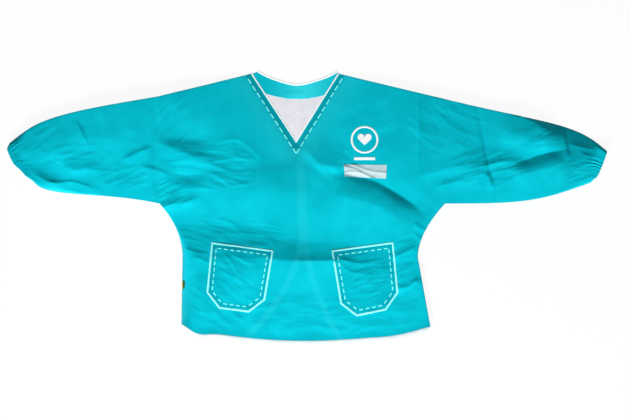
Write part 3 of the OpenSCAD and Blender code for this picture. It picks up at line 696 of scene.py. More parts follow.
# Back halves
def neckArc(s, start, end, n):
    half, drop = smock["backNeckWidth"] / 2 * smock["backNeckReach"][s], smock["backNeckDrop"]
    radius = (half * half + drop * drop) / (2 * drop)
    a = np.linspace(math.asin(start / radius), math.asin(end * half / radius), n)
    arc = at(0, drop) + vec(0, radius) + radius * np.stack([s * np.sin(a), -np.cos(a)], axis=-1)
    least, more, reach = smock["backNeckRise"]
    arc[:, 1] += least + more * smoothstep(np.abs(arc[:, 0] - at(0, drop)[0]) / (reach * half))
    return arc


def alongLine(line, t):
    lengths = np.hypot(*np.diff(line, axis=0).T)
    reach = np.concatenate([[0], np.cumsum(lengths)]) / lengths.sum()
    return np.stack([np.interp(t, reach, line[:, i]) for i in (0, 1)], axis=-1)


def backHalf(s):
    share = smock["partWidth"][s] / (smock["hemWidth"] / 2)
    neck = np.vstack([neckArc(s, smock["backGap"], 1, 25), neckPoint(s)])
    edge = backEdge(s)[::-1]
    u, v = np.meshgrid(np.linspace(0, 1, 51), np.linspace(0, 1, 61))
    xy = coons(lambda a: hem(s, mix(share, 1, a)), lambda a: topEdge(s, a, lambda t: alongLine(neck, t)),
               lambda b: alongLine(edge, b), lambda b: bodySide(s, b), u, v)
    return xy if s > 0 else xy[:, ::-1]


backs = {}
for s, word in sides.items():
    xy = backHalf(s)
    top = np.full(xy.shape[:2], smock["cloth"])
    backs[s] = sheetObject(word + "Back", xy, top, top - smock["cloth"], innerWhite, teal,
                           plainMarks(top.size))
print("back halves made")


# Sleeves
def sleevePoint(s, u, v):
    return mix(bezier(underside(s), u), bezier(overarm(s), u), v[..., None])


sleeveGrid = dict(cols=150, rows=84, across=140)


def puckerWave(s, k):
    # uneven gathers across a cuff, k from 0 at its upper seam to 1
    sway, rate = cuff["sway"]
    wave = np.sin(2 * np.pi * cuff["puckers"] * k + sway * np.sin(2 * np.pi * rate * k + s))
    even, more, rate = cuff["strength"]
    strength = even + more * np.sin(2 * np.pi * rate * k + 1.0 + s)
    share, reach = cuff["smooth"]
    return wave * strength * (1 - share * smoothstep((k - cuff["smoothFrom"][s]) / reach))


def cuffProfile(k):
    # half height of the gathered end, k from 0 to 1 across it
    a = np.abs(k - 0.5) * cuff["width"]
    straight = (cuff["width"] - cuff["height"]) / 2
    over = np.clip(a - straight, 0, cuff["height"] / 2)
    return np.sqrt(np.maximum((cuff["height"] / 2) ** 2 - over**2, 0))


def sleevePair(s, word):
    rim = edgeTurn["rim"] / sleeveGrid["across"]
    v = np.concatenate([[0, rim], np.linspace(0, 1, sleeveGrid["rows"])[1:-1], [1 - rim, 1]])
    u, v = np.meshgrid(np.linspace(0, 1, sleeveGrid["cols"]), v)
    if s < 0:
        u = u[:, ::-1]
    xy = sleevePoint(s, u, v)
    flat = xy.reshape(-1, 2)
    away = ((cuffLine(s, 0.5, cuff["length"]) - flat) @ cuffOut(s)).reshape(u.shape)
    near = np.exp(-(np.maximum(away, 0) / cuff["drawIn"]) ** 2)
    half = cuff["height"] / 2
    gather = cuff["pucker"] * puckerWave(s, 1 - v) * np.exp(-np.maximum(away, 0) / cuff["drawIn"])
    gather = gather * np.sin(np.pi * v) ** 0.5
    top = clothTop(flat).reshape(u.shape)
    top = mix(top, half + cuffProfile(1 - v), near) + gather
    low = mix(np.zeros_like(top), half - cuffProfile(1 - v), near)
    marks = clothMarks(flat)
    # painted shade: the wearer's right sleeve is darkened towards its cuff
    shade = cuff["dark"][s] * np.exp(-(np.maximum(away, 0) / cuff["darkReach"]) ** 2)
    marks["doubledAndShade"] = np.maximum(marks["doubledAndShade"], shade.ravel())
    under = top - clothThick(flat).reshape(top.shape)
    frontPiece = sheetObject(word + "SleeveFront", xy, top, under, teal, innerWhite, marks)
    low = np.minimum(low, top - 2 * smock["cloth"])
    backPiece = sheetObject(word + "SleeveBack", xy, low + smock["cloth"], low, innerWhite, teal,
                            plainMarks(top.size))
    return frontPiece, backPiece


sleeveFronts, sleeveBacks = {}, {}
for s, word in sides.items():
    sleeveFronts[s], sleeveBacks[s] = sleevePair(s, word)
print("sleeves made")


# Cuffs: a puckered casing round the elastic
def slotPoint(t, inset):
    # point of a slot outline, t from 0 to 1 all the way round, starting at the upper seam
    r, d = cuff["height"] / 2 - inset, (cuff["width"] - cuff["height"]) / 2
    arc, flat = math.pi * r, 2 * d
    q = (t % 1) * (2 * arc + 2 * flat)
    if q < arc / 2:
        a = q / r
        return -d - r * math.cos(a), r * math.sin(a)
    q -= arc / 2
    if q < flat:
        return -d + q, r
    q -= flat
    if q < arc:
        a = q / r
        return d + r * math.sin(a), r * math.cos(a)
    q -= arc
    if q < flat:
        return d - q, -r
    a = (q - flat) / r
    return -d - r * math.sin(a), -r * math.cos(a)


def cuffPoint(s, a, b, back):
    c = cuffLine(s, 0.5, back) + cuffDown(s) * a
    return (c[0], c[1], cuff["height"] / 2 + b)


def cuffBand(s, name, profile, material, around=220):
    # profile is a closed row of (inset, back, share of the pucker)
    even, middle = cuff["bulge"][s]
    corner, start = cuff["corner"][s]
    end = cuff["end"]
    sections = []
    for j in range(around):
        t = j / around
        ring = []
        for inset, back, share in profile:
            a, b = slotPoint(t, inset)
            k = 0.5 + a / cuff["width"]
            swell = cuff["pucker"] * share * puckerWave(s, k) * max(0.0, math.sin(math.pi * k)) ** 0.5
            grow = 1 + swell / (cuff["height"] / 2)
            free = 1 - back / cuff["length"]
            low, high = smoothstep((k - (1 - end)) / end), smoothstep((end - k) / end)
            a += (cuff["flare"][s] * low - cuff["rise"][s] * high) * (1 - free)
            back -= free * (even + middle * (1 - (2 * k - 1) ** 2) - corner * smoothstep((k - start) / end))
            ring.append(cuffPoint(s, a, b * grow if b > 0 else b, back))
        sections.append(ring)
    # painted shade: the wearer's right cuff casing is darkened all over
    marks = dict(doubledAndShade=np.full(around * len(profile), cuff["dark"][s]))
    return loftObject(name, sections, material, closed=True, marks=marks)


cuffs, elastics = {}, {}
casingProfile = [(0.0, 7.5, 1.0), (-0.1, 6.6, 0.6), (0.0, 4.0, 0.4), (0.1, 2.0, 0.6), (0.0, 0.9, 0.9),
                 (0.3, 0.2, 1.0), (1.0, 0.0, 1.0), (2.2, 0.4, 0.8), (2.6, 2.0, 0.4), (2.6, 6.0, 0.3),
                 (2.4, 7.5, 0.8)]
elasticProfile = [(1.0, 7.0, 0.3), (1.0, 2.4, 0.3), (1.6, 2.2, 0.3), (2.0, 2.4, 0.3), (2.0, 7.0, 0.3),
                  (1.6, 7.2, 0.3)]
for s, word in sides.items():
    cuffs[s] = cuffBand(s, word + "Cuff", casingProfile, teal)
    elastics[s] = cuffBand(s, word + "Elastic", elasticProfile, elasticRib)
print("cuffs made")

# V neck
vTrim = dict(facing=(20, 0.3), facingUp=0.94, facingGap=0.03, facingLayer=0.1, facingDark=0.3,
             tape=(0.9, 2.2), tapeUp=0.985, tapeLayer=0.1, tapeWall=0.06,
             lip=(2.0, 0.2), lipTurn=(0.55, 0.25), lipRise=0.08, floor=(0.82, 1.12), floorTurn=(0.6, 0.2),
             stitchInset=10.5, stitches=11, stitchShare=0.8, thread=2.3, stitchHigh=0.4)


def vInward(s):
    d = neckPoint(s) - vTip
    d = d / np.hypot(*d)
    return s * vec(d[1], -d[0])


def vAt(s, t, w):
    # a point w into the cloth beside a leg of the V, t of the way up from the tip
    a, b = vInward(1), vInward(-1)
    m = (a + b) / np.hypot(*(a + b))
    return mix(vTip + m * w / (m @ a), neckPoint(s) + vInward(s) * w, t)


def vStations(n, last=1.0):
    return [(-1, last * i / n) for i in range(n, 0, -1)] + [(1, last * i / n) for i in range(n + 1)]


def vStrip():
    stations = vStations(40, vTrim["facingUp"])
    widths = np.linspace(*vTrim["facing"], 9)
    xy = np.array([[vAt(s, t, w) for s, t in stations] for w in widths])
    flat = xy.reshape(-1, 2)
    top = (clothTop(flat) - clothThick(flat)).reshape(xy.shape[:2]) - vTrim["facingGap"]
    return sheetObject("vFacing", xy, top, top - vTrim["facingLayer"], innerWhite, teal,
                       plainMarks(top.size, vTrim["facingDark"]))


def tapeSection(points, heights, drop, thick):
    # a tape folded over an edge; points run from past the edge to the tape's inner side
    upper = [(p[0], p[1], h) for p, h in zip(points, heights)]
    return upper + [(points[i][0], points[i][1], heights[i] - d)
                    for i, d in ((-1, thick), (2, thick), (1, drop), (0, drop))]


def vTape():
    # narrow at the tip and broader towards the neck points; its wall reaches down to the back
    reach = np.array([-1.0, -0.15, 0.1, 0.5, 0.85, 1.0])
    crown = np.array([0.05, 0.10, 0.14, 0.16, 0.14, 0.05])
    (lipStart, lipReach), (floorStart, floorReach) = vTrim["lipTurn"], vTrim["floorTurn"]
    sections = []
    for s, t in vStations(36):
        lip = mix(*vTrim["lip"], smoothstep((t - lipStart) / lipReach))
        offsets = reach * np.where(reach < 0, lip, mix(*vTrim["tape"], t))
        points = np.array([vAt(s, t, w) for w in offsets])
        heights = clothTop(np.array([vAt(s, min(t, vTrim["tapeUp"]), max(w, 0.0)) for w in offsets])) + crown
        floor = mix(*vTrim["floor"], smoothstep((t - floorStart) / floorReach))
        heights[0] = floor + vTrim["lipRise"]  # its inner lip lies on the back
        sections.append(tapeSection(points, heights, vTrim["tapeWall"], vTrim["tapeLayer"]))
    return loftObject("vTape", sections, tapeWhite)


stitchForm = dict(rings=9, around=8, squareness=9, least=0.15, sunk=0.1)


def stitchObject(name, spans, heightAt, width, high):
    # sewn threads: each rises out of the cloth, runs along it and dives back
    rings, around, least = stitchForm["rings"], stitchForm["around"], stitchForm["least"]
    t = np.linspace(0, 1, rings)
    bow = np.sqrt(np.maximum(1 - np.abs(2 * t - 1) ** stitchForm["squareness"], 0))
    points, faces = [], []
    ground = heightAt(np.array([mix(a, b, k) for a, b in spans for k in t])).reshape(len(spans), rings)
    for (a, b), base in zip(spans, ground):
        along = (b - a) / np.hypot(*(b - a))
        across = vec(-along[1], along[0])
        faces += loftFaces(rings, around, len(points))
        for k in range(rings):
            centre = mix(a, b, t[k])
            for q in range(around):
                angle = 2 * math.pi * q / around
                side = across * math.cos(angle) * width / 2 * max(bow[k], least)
                up = high * (0.5 * bow[k] + 0.5 * math.sin(angle) * max(bow[k], least)) - stitchForm["sunk"]
                points.append((*(centre + side), base[k] + up))
    return facedOutward(makeObject(name, points, faces, [dashCyan]))


def vStitches():
    n, share, inset = vTrim["stitches"], vTrim["stitchShare"], vTrim["stitchInset"]
    spans = [(vAt(s, i / n, inset), vAt(s, (i + share) / n, inset)) for s in sides for i in range(n)]
    return stitchObject("vStitches", spans, clothTop, vTrim["thread"], vTrim["stitchHigh"])


vFacing, vBinding, vSewing = vStrip(), vTape(), vStitches()
print("V neck made")

# Back neck: facing crescent, its white tape, and the tapes down the centre edges
# its glow is a painted highlight across the middle of the neck facing
backTrim = dict(facing=(181.6, 0.0032), facingLayer=0.25, facingTop=0.3, facingEnd=(1.5, 28), share=0.995,
                gap=0.05, glow=(200, 12, 38), neckTape=(-2.4, 0.9), edgeTape=(0.0, 5.0), edgeFrom=0.1,
                edgeWall=0.6, layer=0.1)
tabFloor = smock["cloth"] + backTrim["facingTop"]


def shifted(line, d):
    step = np.gradient(line, axis=0)
    step = step / np.hypot(step[:, 0], step[:, 1])[:, None]
    return line + d * np.stack([-step[:, 1], step[:, 0]], axis=-1)


# painted highlight: lighter across the middle of the neck facing
def facingPaintedHighlight(x):
    y, past, breadth = backTrim["glow"]
    return np.exp(-((x - centreX(y) - past) / breadth) ** 2)


def tapeAlong(name, line, s, offsets, crown, drop, material):
    # a tape beside a line, from the first offset to the second
    lines = [shifted(line, s * mix(*offsets, k)) for k in (0, 0.1, 0.3, 0.6, 0.9, 1.0)]
    sections = [tapeSection([w[i] for w in lines], crown, drop, backTrim["layer"]) for i in range(len(line))]
    return loftObject(name, sections, material)


neckFacings, neckTapes, edgeTapes = {}, {}, {}
for s, word in sides.items():
    arc = neckArc(s, backTrim["gap"], backTrim["share"], 33)
    low, bow = backTrim["facing"]
    foot = np.column_stack([arc[:, 0], low + bow * (arc[:, 0] - centreX(low)) ** 2])
    past, drop = backTrim["facingEnd"]
    corner = neckPoint(s) + vec(s * past, -past)
    arc, foot = np.vstack([arc, corner]), np.vstack([foot, corner - vec(0, drop)])
    xy = np.array([mix(foot, arc, k) for k in np.linspace(0, 1, 9)])
    xy = xy if s > 0 else xy[:, ::-1]
    top = np.full(xy.shape[:2], tabFloor)
    marks = dict(glow=facingPaintedHighlight(xy[..., 0]), doubledAndShade=np.zeros(top.size))
    neckFacings[s] = sheetObject(word + "NeckFacing", xy, top, top - backTrim["facingLayer"], teal,
                                 innerWhite, marks)
    arc = neckArc(s, backTrim["gap"], 1, 41)
    crown = np.array([0.2, 0.32, 0.4, 0.4, 0.3, 0.1]) + tabFloor
    wall = crown[0] - backTrim["layer"]
    neckTapes[s] = tapeAlong(word + "NeckTape", arc, -s, backTrim["neckTape"], crown, wall, tapeWhite)
    edge = alongLine(backEdge(s), np.linspace(backTrim["edgeFrom"], 1, 60))
    crown = np.array([0.02, 0.04, 0.05, 0.05, 0.04, 0.02]) + smock["cloth"]
    wall = backTrim["edgeWall"]
    edgeTapes[s] = tapeAlong(word + "EdgeTape", edge, s, backTrim["edgeTape"], crown, wall, innerWhite)

# Hem tape
hemTape = dict(rightShare=0.86, leftShare=0.98, wall=1.6, layer=0.6)


def hemStation(q):
    s = 1 if q >= 0 else -1
    p = hem(s, abs(q))
    slope = vec(smock["hemWidth"] / 2, s * 2 * smock["hemDip"] * abs(q))
    return p, vec(-slope[1], slope[0]) / np.hypot(*slope)


def hemBinding():
    offsets = np.array([-4.2, -3.4, -1.6, -0.2, 0.6, 1.0])
    crown = np.array([-0.5, -0.15, 0.05, 0.2, 0.25, 0.05])
    sections = []
    for q in np.linspace(-hemTape["rightShare"], hemTape["leftShare"], 90):
        p, inward = hemStation(q)
        points = [p + inward * w for w in offsets]
        ground = clothTop(np.array([p + inward * max(w, 0.0) for w in offsets]))
        sections.append(tapeSection(points, ground + crown, hemTape["wall"], hemTape["layer"]))
    return loftObject("hemTape", sections, hemWhite)


hemEdge = hemBinding()
print("edges bound")

# Pockets
pocket = dict(width=104, height=108, corner=24, taper=3, tilt=7.6, offset={1: 98.5, -1: 101.5}, drop=289,
              stretch={1: 1.045, -1: 1.0}, skew={1: 0.075, -1: 0.0}, crown=2.4, mouth=0.05,
              fullest=0.4, seat=0.1, tapeLayer=0.1,
              tape=(-0.1, 2.8), stitchInset=8.8, stitch=7.6, pitch=9.2, thread=1.8, stitchHigh=0.3,
              band=(3, 9.5, 1.5, 1.5), bandDark=0.42, inside={1: 0.2, -1: 0.08}, cols=71, rows=75)
pocketFolds = {
    1: [(1.2, 3, 6, 0.6, [(-48, -8), (-24, -22), (2, -27), (30, -24)]),
        (0.9, 3, 5, 0.6, [(-46, -14), (-30, -34), (-8, -42), (14, -40)]),
        (0.8, 3, 6, 0.6, [(-30, -54), (-6, -50), (22, -42), (46, -38)]),
        (0.8, 3, 6, 0.6, [(-36, -64), (-8, -62), (20, -56)]),
        (0.7, 3, 6, 0.6, [(-20, -76), (10, -74), (40, -62)])],
    -1: [(0.8, 3, 6, 0.6, [(36, -12), (16, -28), (-2, -50)]),
         (0.8, 3, 6, 0.6, [(24, -12), (-6, -24), (-30, -28)]),
         (0.6, 3, 6, 0.6, [(46, -30), (20, -34), (4, -32)]),
         (0.5, 4, 7, 0.5, [(30, -44), (10, -52), (-14, -62)])],
}
pocketWrinkles = {1: [(0, -46, 50, 46, 8, 30, 8, 0.4)], -1: [(0, -44, 48, 44, 35, 34, 10, 0.2)]}


def pocketMap(s, q):
    q = np.asarray(q, float)
    t = math.radians(pocket["tilt"])
    across, down = q[..., 0], q[..., 1] * pocket["stretch"][s]
    down = down - pocket["skew"][s] * across * q[..., 1] / pocket["height"]
    x = s * (across * math.cos(t) - down * math.sin(t))
    y = across * math.sin(t) + down * math.cos(t)
    return at(s * pocket["offset"][s], pocket["drop"]) + np.stack([x, y], axis=-1)


def pocketHalf(y):
    straight = pocket["height"] - pocket["corner"]
    side = pocket["width"] / 2 - pocket["taper"] * np.minimum(-y, straight) / straight
    return side - np.maximum(-y - straight, 0)


def pocketTop(s, q):
    # height of a pocket's outer face at its own coordinates
    q = np.asarray(q, float).reshape(-1, 2)
    u = np.clip(np.abs(q[:, 0]) / pocketHalf(q[:, 1]), 0, 1)
    v = np.clip(-q[:, 1] / pocket["height"], 0, 1)
    full = pocket["fullest"]
    swell = mix(pocket["mouth"], 1, smoothstep(v / full)) * (1 - smoothstep((v - full) / (1 - full)))
    inside = 1 - u**6
    rise = pocket["crown"] * (1 - u * u) ** 1.5 * swell + wrinkleRise(q, pocketWrinkles[s]) * inside
    for fold in pocketFolds[s]:
        rise = rise + foldSwell(q, fold) * inside
    return clothTop(pocketMap(s, q)) + pocket["seat"] + rise + smock["frontCloth"]


def pocketLoop(d):
    m = math.tan(math.radians(22.5))
    a = pocket["width"] / 2 - d
    b = a - pocket["taper"]
    y = pocket["corner"] - pocket["height"] + m * d
    c = pocket["width"] / 2 - pocket["taper"] - pocket["corner"] - m * d
    low = d - pocket["height"]
    return np.array([[0, -d], [a, -d], [b, y], [c, low], [-c, low], [-b, y], [-a, -d]], float)


pockets, pocketTapes, pocketSewing = {}, {}, {}
for s, word in sides.items():
    v, u = np.meshgrid(np.linspace(-1, 0, pocket["rows"]), np.linspace(-1, 1, pocket["cols"]), indexing="ij")
    y = v * pocket["height"]
    q = np.stack([s * u * pocketHalf(y), y], axis=-1)
    xy = pocketMap(s, q)
    top = pocketTop(s, q).reshape(u.shape)
    outline = pocketLoop(0)
    inset = traceLine(q.reshape(-1, 2), np.vstack([outline, outline[:1]]))[0]
    dark = np.maximum(pocket["bandDark"] * softBand(inset, *pocket["band"]), pocket["inside"][s])
    marks = dict(glow=np.zeros(top.size), doubledAndShade=dark)
    pockets[s] = sheetObject(word + "Pocket", xy, top, top - smock["frontCloth"], teal, innerWhite, marks)
    insets = np.linspace(*pocket["tape"], 5)
    crown = np.array([0.1, 0.35, 0.4, 0.35, 0.1])
    loops = []
    for d in insets:
        corners = pocketLoop(d)
        loops.append(np.vstack([mix(a, b, np.linspace(0, 1, 14, endpoint=False)[:, None])
                                for a, b in zip(corners, np.roll(corners, -1, axis=0))]))
    rings = [np.column_stack([pocketMap(s, w), pocketTop(s, w)]) for w in loops]
    sections = [r + (0, 0, h) for r, h in zip(rings, crown)]
    sections += [rings[k] - (0, 0, pocket["tapeLayer"]) for k in (4, 2, 0)]
    pocketTapes[s] = loftObject(word + "PocketTape", np.stack(sections, axis=1), paleTrim, closed=True)
    corners = pocketLoop(pocket["stitchInset"])
    spans = []
    for a, b in zip(corners, np.roll(corners, -1, axis=0)):
        length = np.hypot(*(b - a))
        n = max(1, int(length / pocket["pitch"]))
        for i in range(n):
            middle, h = (i + 0.5) / n, pocket["stitch"] / 2 / length
            spans.append((mix(a, b, middle - h), mix(a, b, middle + h)))

    def sewnAt(points, s=s):
        return pocketTop(s, points)

    sewn = stitchObject(word + "PocketStitches", spans, sewnAt, pocket["thread"], pocket["stitchHigh"])
    co = np.array([p.co for p in sewn.data.vertices]) / mm
    co[:, :2] = pocketMap(s, co[:, :2])
    sewn.data.vertices.foreach_set("co", (co * mm).ravel())
    pocketSewing[s] = facedOutward(sewn)
print("pockets made")

# Name patch and emblem on the wearer's left chest
patch = dict(corners=[(64, 52), (133, 48), (134, 71), (62, 72)], thick=0.2, cols=61, rows=25,
             folds=[(1.8, 3, 6, 0.6, [(60, 70), (82, 63), (100, 54), (112, 48)]),
                    (1.3, 3, 5, 0.6, [(78, 72), (96, 64), (112, 60), (136, 57)]),
                    (1.1, 2, 4, 0.6, [(62, 58), (76, 60), (90, 58)])])
u, v = np.meshgrid(np.linspace(0, 1, patch["cols"]), np.linspace(0, 1, patch["rows"]))
a, b, c, d = [np.array(p, float) for p in patch["corners"]]
xy = mix(mix(a, b, u[..., None]), mix(d, c, u[..., None]), v[..., None])
flat = xy.reshape(-1, 2)
top = clothTop(flat) + 0.1 + patch["thick"]
for fold in patch["folds"]:
    top = top + foldSwell(flat, fold, fade=0)
top = top.reshape(u.shape)
namePatch = sheetObject("namePatch", xy, top, top - patch["thick"], satinWhite, satinWhite)

emblem = dict(offset=109, drop=111, size=46, line=3.2, thick=0.35, film=0.3, sunk=0.1,
              heart=0.26, heartRise=0.06, barHalf=0.38, barLine=0.7, barDrop=9)
emblemMiddle = at(emblem["offset"], emblem["drop"])


def filmObject(name, xy):
    top = clothTop(xy.reshape(-1, 2)).reshape(xy.shape[:2]) + emblem["thick"]
    return facedOutward(sheetObject(name, xy, top, top - emblem["film"], printWhite, printWhite))


ringAngles = np.linspace(0, 2 * np.pi, 97)[:-1]
ringOut = emblem["size"] / 2
ringCrown = [(0, 0.0), (0.15, 0.3), (0.5, 0.4), (0.85, 0.3), (1, 0.0)]  # share of the line's breadth, height


def emblemRing():
    sections = []
    for angle in ringAngles:
        ray = vec(math.cos(angle), math.sin(angle))
        ring = [emblemMiddle + ray * (ringOut - emblem["line"] * share) for share, high in ringCrown]
        heights = clothTop(np.array(ring))
        section = [(*p, z + high) for p, z, (share, high) in zip(ring, heights, ringCrown)]
        section += [(*ring[k], heights[k] - emblem["sunk"]) for k in (4, 0)]
        sections.append(section)
    return loftObject("emblemRing", sections, printWhite, closed=True)


def emblemHeart():
    x = np.linspace(-0.97, 0.97, 33)
    high = 0.55 * np.sqrt(1 - (2 * np.abs(x) - 1) ** 2) + 0.02
    low = -((1 - np.abs(x)) ** 0.85)
    t = np.linspace(0, 1, 13)[:, None]
    size = emblem["heart"] * emblem["size"]
    xy = np.dstack([np.tile(x, (13, 1)), mix(low, high, t)]) * size
    return filmObject("emblemHeart", xy + emblemMiddle + vec(0, emblem["heartRise"] * emblem["size"]))


def emblemBar():
    x, y = np.meshgrid(np.linspace(-1, 1, 25), np.linspace(-1, 1, 7))
    half, thick = emblem["size"] * emblem["barHalf"], emblem["line"] * emblem["barLine"]
    xy = np.dstack([x * half, y * thick])
    return filmObject("emblemBar", xy + emblemMiddle - vec(0, ringOut + emblem["barDrop"]))


emblemPieces = [emblemRing(), emblemHeart(), emblemBar()]
print("badges made")

# Side label: a folded woven tab in the right side seam
label = dict(drop=354, length=8, width=13, turn=46, curl=0.75, gold=1.0, past=0.4, seat=2.9,
             layer=0.5, gap=0.5)
labelY = neckY - label["drop"]
share = (labelY - hemCorner(-1)[1]) / (waistY - hemCorner(-1)[1])
labelRoot = bezier(sideLow(-1), share) + vec(label["past"], 0)


def labelObject():
    # two layers of a woven tab, folded at its free end
    n, layer, gap = 9, label["layer"], label["gap"]
    bend = math.radians(label["turn"]) * np.linspace(1, label["curl"], n)
    step = label["length"] / (n - 1)
    middle = np.array([labelRoot[0], label["seat"]]) + np.vstack(
        [(0, 0), np.cumsum(np.column_stack([np.cos(bend), np.sin(bend)])[:-1] * step, axis=0)])
    turns = np.linspace(-0.5, 0.5, 7)[1:-1] * math.pi + bend[-1]
    fold = middle[-1] + gap * np.column_stack([np.cos(turns), np.sin(turns)])
    line = np.vstack([shifted(middle, -gap), fold, shifted(middle, gap)[::-1]])
    section = np.vstack([shifted(line, layer / 2), shifted(line, -layer / 2)[::-1]])
    sections = [[(x, labelY + y, z) for x, z in section] for y in np.linspace(-0.5, 0.5, 14) * label["width"]]
    obj = loftObject("sideLabel", sections, labelGreen)
    obj.data.materials.append(labelGold)
    for face in obj.data.polygons:
        face.material_index = 1 if face.center.x / mm < labelRoot[0] + label["gold"] else 0
    return obj


sideLabel = labelObject()

# Closure at the back neck
tabLow, tabHigh = [np.array(c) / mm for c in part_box("closure_tab")]
tab = dict(step=(5, 12), thick=0.12, rim=0.3, rise=(0.02, 0.24), pinch=2.5, nap=0.02, flat=(14, 42))


def tabDome(y):
    return 1 - (2 * (y - tabLow[1]) / (tabHigh[1] - tabLow[1]) - 1) ** 2


def closureTab():
    # sewn flat at its root, it climbs on to the tapes and slopes down to both sides
    root, end = tabHigh[0], tabLow[0]
    sections = []
    for x in np.linspace(root, end, 40):
        climb = smoothstep((root - x - tab["step"][0]) / (tab["step"][1] - tab["step"][0]))
        pinch = tab["pinch"] * max(0.0, 1 - (x - end) / tab["pinch"]) ** 2
        ys = np.linspace(tabLow[1] + pinch, tabHigh[1] - pinch, 13)
        z = tabFloor + mix(tab["rise"][0], tab["rise"][1] * tabDome(ys) + 0.02, climb)
        thick = tab["thick"] * mix(tab["rim"], 1, tabDome(np.linspace(tabLow[1], tabHigh[1], 13)))
        sections.append([(x, y, h) for y, h in zip(ys, z + thick)]
                        + [(x, y, h) for y, h in zip(ys[::-1], z[::-1])])
    # the tab carries the neck facing's painted highlight
    glow = facingPaintedHighlight(np.array(sections)[..., 0].ravel())
    return loftObject("closureTab", sections, teal, marks=dict(glow=glow))


def tapePad(name, node, layer, bumps):
    # a short tape between the tab and the facing, with its nap
    low, high = [np.array(c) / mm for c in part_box(node)]
    xs, ys = np.linspace(low[0], high[0], 31), np.linspace(low[1] + 1, high[1] - 1, 23)
    x, y = np.meshgrid(xs, ys)
    rough = np.array([[noise.noise((a / bumps, b / bumps, 1.3)) for a in xs] for b in ys])
    under = tabFloor + layer[0] * tabDome(y)
    over = tabFloor + (layer[1] + tab["nap"] * rough) * tabDome(y)
    return sheetObject(name, np.dstack([x, y]), over, under, hookLoop, hookLoop)


closure = closureTab()
hookPad = tapePad("hookPad", "hook_tape", (0.13, 0.22), 0.9)
loopPad = tapePad("loopPad", "loop_tape", (0.02, 0.11), 1.4)
print("label and closure made")

# What each piece stands for and moves with
torsoPieces = [
    (front, ["front_panel"], "teal_cloth"),
    (backs[1], ["left_back_panel"], "teal_cloth"), (backs[-1], ["right_back_panel"], "teal_cloth"),
    (vFacing, ["v_facing"], "facing_cloth"), (vBinding, ["v_binding"], "white_binding"),
    (vSewing, ["v_stitching"], "white_thread"), (hemEdge, ["front_hem_binding"], "white_binding"),
    (namePatch, ["name_patch"], "white_satin"), (loopPad, ["loop_tape"], "hook_and_loop")]
for s, word in sides.items():
    torsoPieces += [
        (neckFacings[s], [word + "_neck_facing"], "teal_cloth"),
        (neckTapes[s], [word + "_neck_binding"], "white_binding"),
        (edgeTapes[s], [word + "_back_binding"], "white_binding"),
        (pockets[s], [word + "_pocket"], "teal_cloth"),
        (pocketTapes[s], [word + "_pocket_binding"], "white_binding"),
        (pocketSewing[s], [word + "_pocket_stitching"], "white_thread")]
for piece in emblemPieces:
    torsoPieces.append((piece, ["chest_emblem"], "white_print"))
for piece, nodes, slot in torsoPieces:
    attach(piece, "torso")
    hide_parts(*nodes)
for piece, node, body, slot in ((closure, "closure_tab", "closure_tab", "teal_cloth"),
                                (hookPad, "hook_tape", "closure_tab", "hook_and_loop"),
                                (sideLabel, "side_label", "side_label", "label_weave")):
    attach(piece, body)
    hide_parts(node)

for s, word in sides.items():
    body = word + "_sleeve"
    for piece, node in ((sleeveFronts[s], "_sleeve_front"), (sleeveBacks[s], "_sleeve_back")):
        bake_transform(piece)
        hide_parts(word + node)
    for piece, node, slot in ((cuffs[s], "_cuff_casing", "teal_cloth"),
                              (elastics[s], "_cuff_elastic", "elastic")):
        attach(piece, body)
        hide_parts(word + node)
print("pieces ride on their bodies")


for s, word in sides.items():
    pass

# Stage: pale floor, soft light, camera straight above
stage = dict(floor=8.0, floorDrop=0.0002, floorWhite=0.92, floorSeen=0.93, worldLight=0.2,
             keyPower=158.0, keySize=1.1, keyFrom=(-0.6, -2.5, 1.55))
picture = dict(middle=(14.2, -3.4), across=1055, distance=4.0, sensor=36)
pureWhite = (1, 1, 1, 1)


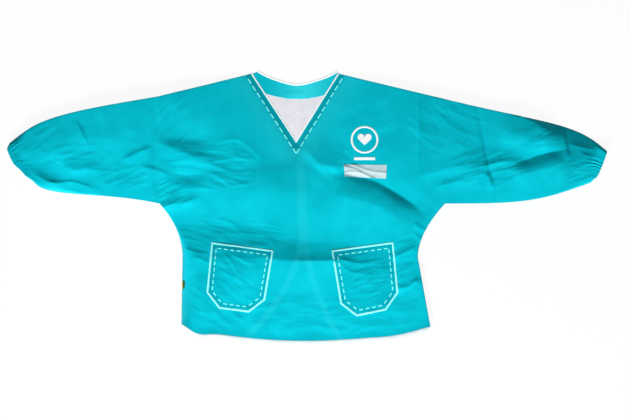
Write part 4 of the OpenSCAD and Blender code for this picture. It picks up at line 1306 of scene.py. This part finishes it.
def seenApart(nodes, links, plain, seen, output, share):
    # the camera sees one shader, for its share, while another lights the scene
    rays = addNode(nodes, "ShaderNodeLightPath")
    part = addNode(nodes, "ShaderNodeMath", operation="MULTIPLY")
    part.inputs[1].default_value = share
    links.new(rays.outputs["Is Camera Ray"], part.inputs[0])
    blend = addNode(nodes, "ShaderNodeMixShader")
    links.new(part.outputs[0], blend.inputs[0])
    links.new(plain.outputs[0], blend.inputs[1])
    links.new(seen.outputs[0], blend.inputs[2])
    links.new(blend.outputs[0], nodes[output].inputs["Surface"])


def whiteFloor():
    mat, nodes, links, skin = newMaterial("floorWhite")
    skin.inputs["Base Color"].default_value = (stage["floorWhite"],) * 3 + (1,)
    skin.inputs["Roughness"].default_value = 0.9
    skin.inputs["Specular IOR Level"].default_value = 0.0
    glow = addNode(nodes, "ShaderNodeEmission", Color=pureWhite)
    seenApart(nodes, links, skin, glow, "Material Output", stage["floorSeen"])
    return mat


def paleWorld():
    world = bpy.data.worlds.new("paleWorld")
    world.use_nodes = True
    nodes, links = world.node_tree.nodes, world.node_tree.links
    back = nodes["Background"]
    back.inputs["Color"].default_value = pureWhite
    back.inputs["Strength"].default_value = stage["worldLight"]
    seen = addNode(nodes, "ShaderNodeBackground", Color=pureWhite)
    seenApart(nodes, links, back, seen, "World Output", 1.0)
    bpy.context.scene.world = world


half = stage["floor"] / 2
low = -stage["floorDrop"]
floorMesh = bpy.data.meshes.new("floor")
floorMesh.from_pydata([(-half, -half, low), (half, -half, low), (half, half, low), (-half, half, low)], [],
                      [(0, 1, 2, 3)])
floorMesh.materials.append(whiteFloor())
floor = bpy.data.objects.new("floor", floorMesh)
bpy.context.scene.collection.objects.link(floor)
paleWorld()

keyData = bpy.data.lights.new("keyLight", "AREA")
keyData.shape, keyData.size = "DISK", stage["keySize"]
keyData.energy = stage["keyPower"]
key = bpy.data.objects.new("keyLight", keyData)
key.location = stage["keyFrom"]
key.rotation_mode = "QUATERNION"
key.rotation_quaternion = key.location.to_track_quat("Z", "Y")
bpy.context.scene.collection.objects.link(key)

cameraData = bpy.data.cameras.new("camera")
cameraData.sensor_width = picture["sensor"]
cameraData.lens = picture["sensor"] * picture["distance"] / (picture["across"] * mm)
camera = bpy.data.objects.new("camera", cameraData)
camera.location = (picture["middle"][0] * mm, picture["middle"][1] * mm, picture["distance"])
bpy.context.scene.collection.objects.link(camera)
bpy.context.scene.camera = camera
bpy.context.scene.view_settings.view_transform = "Standard"
print("stage set")
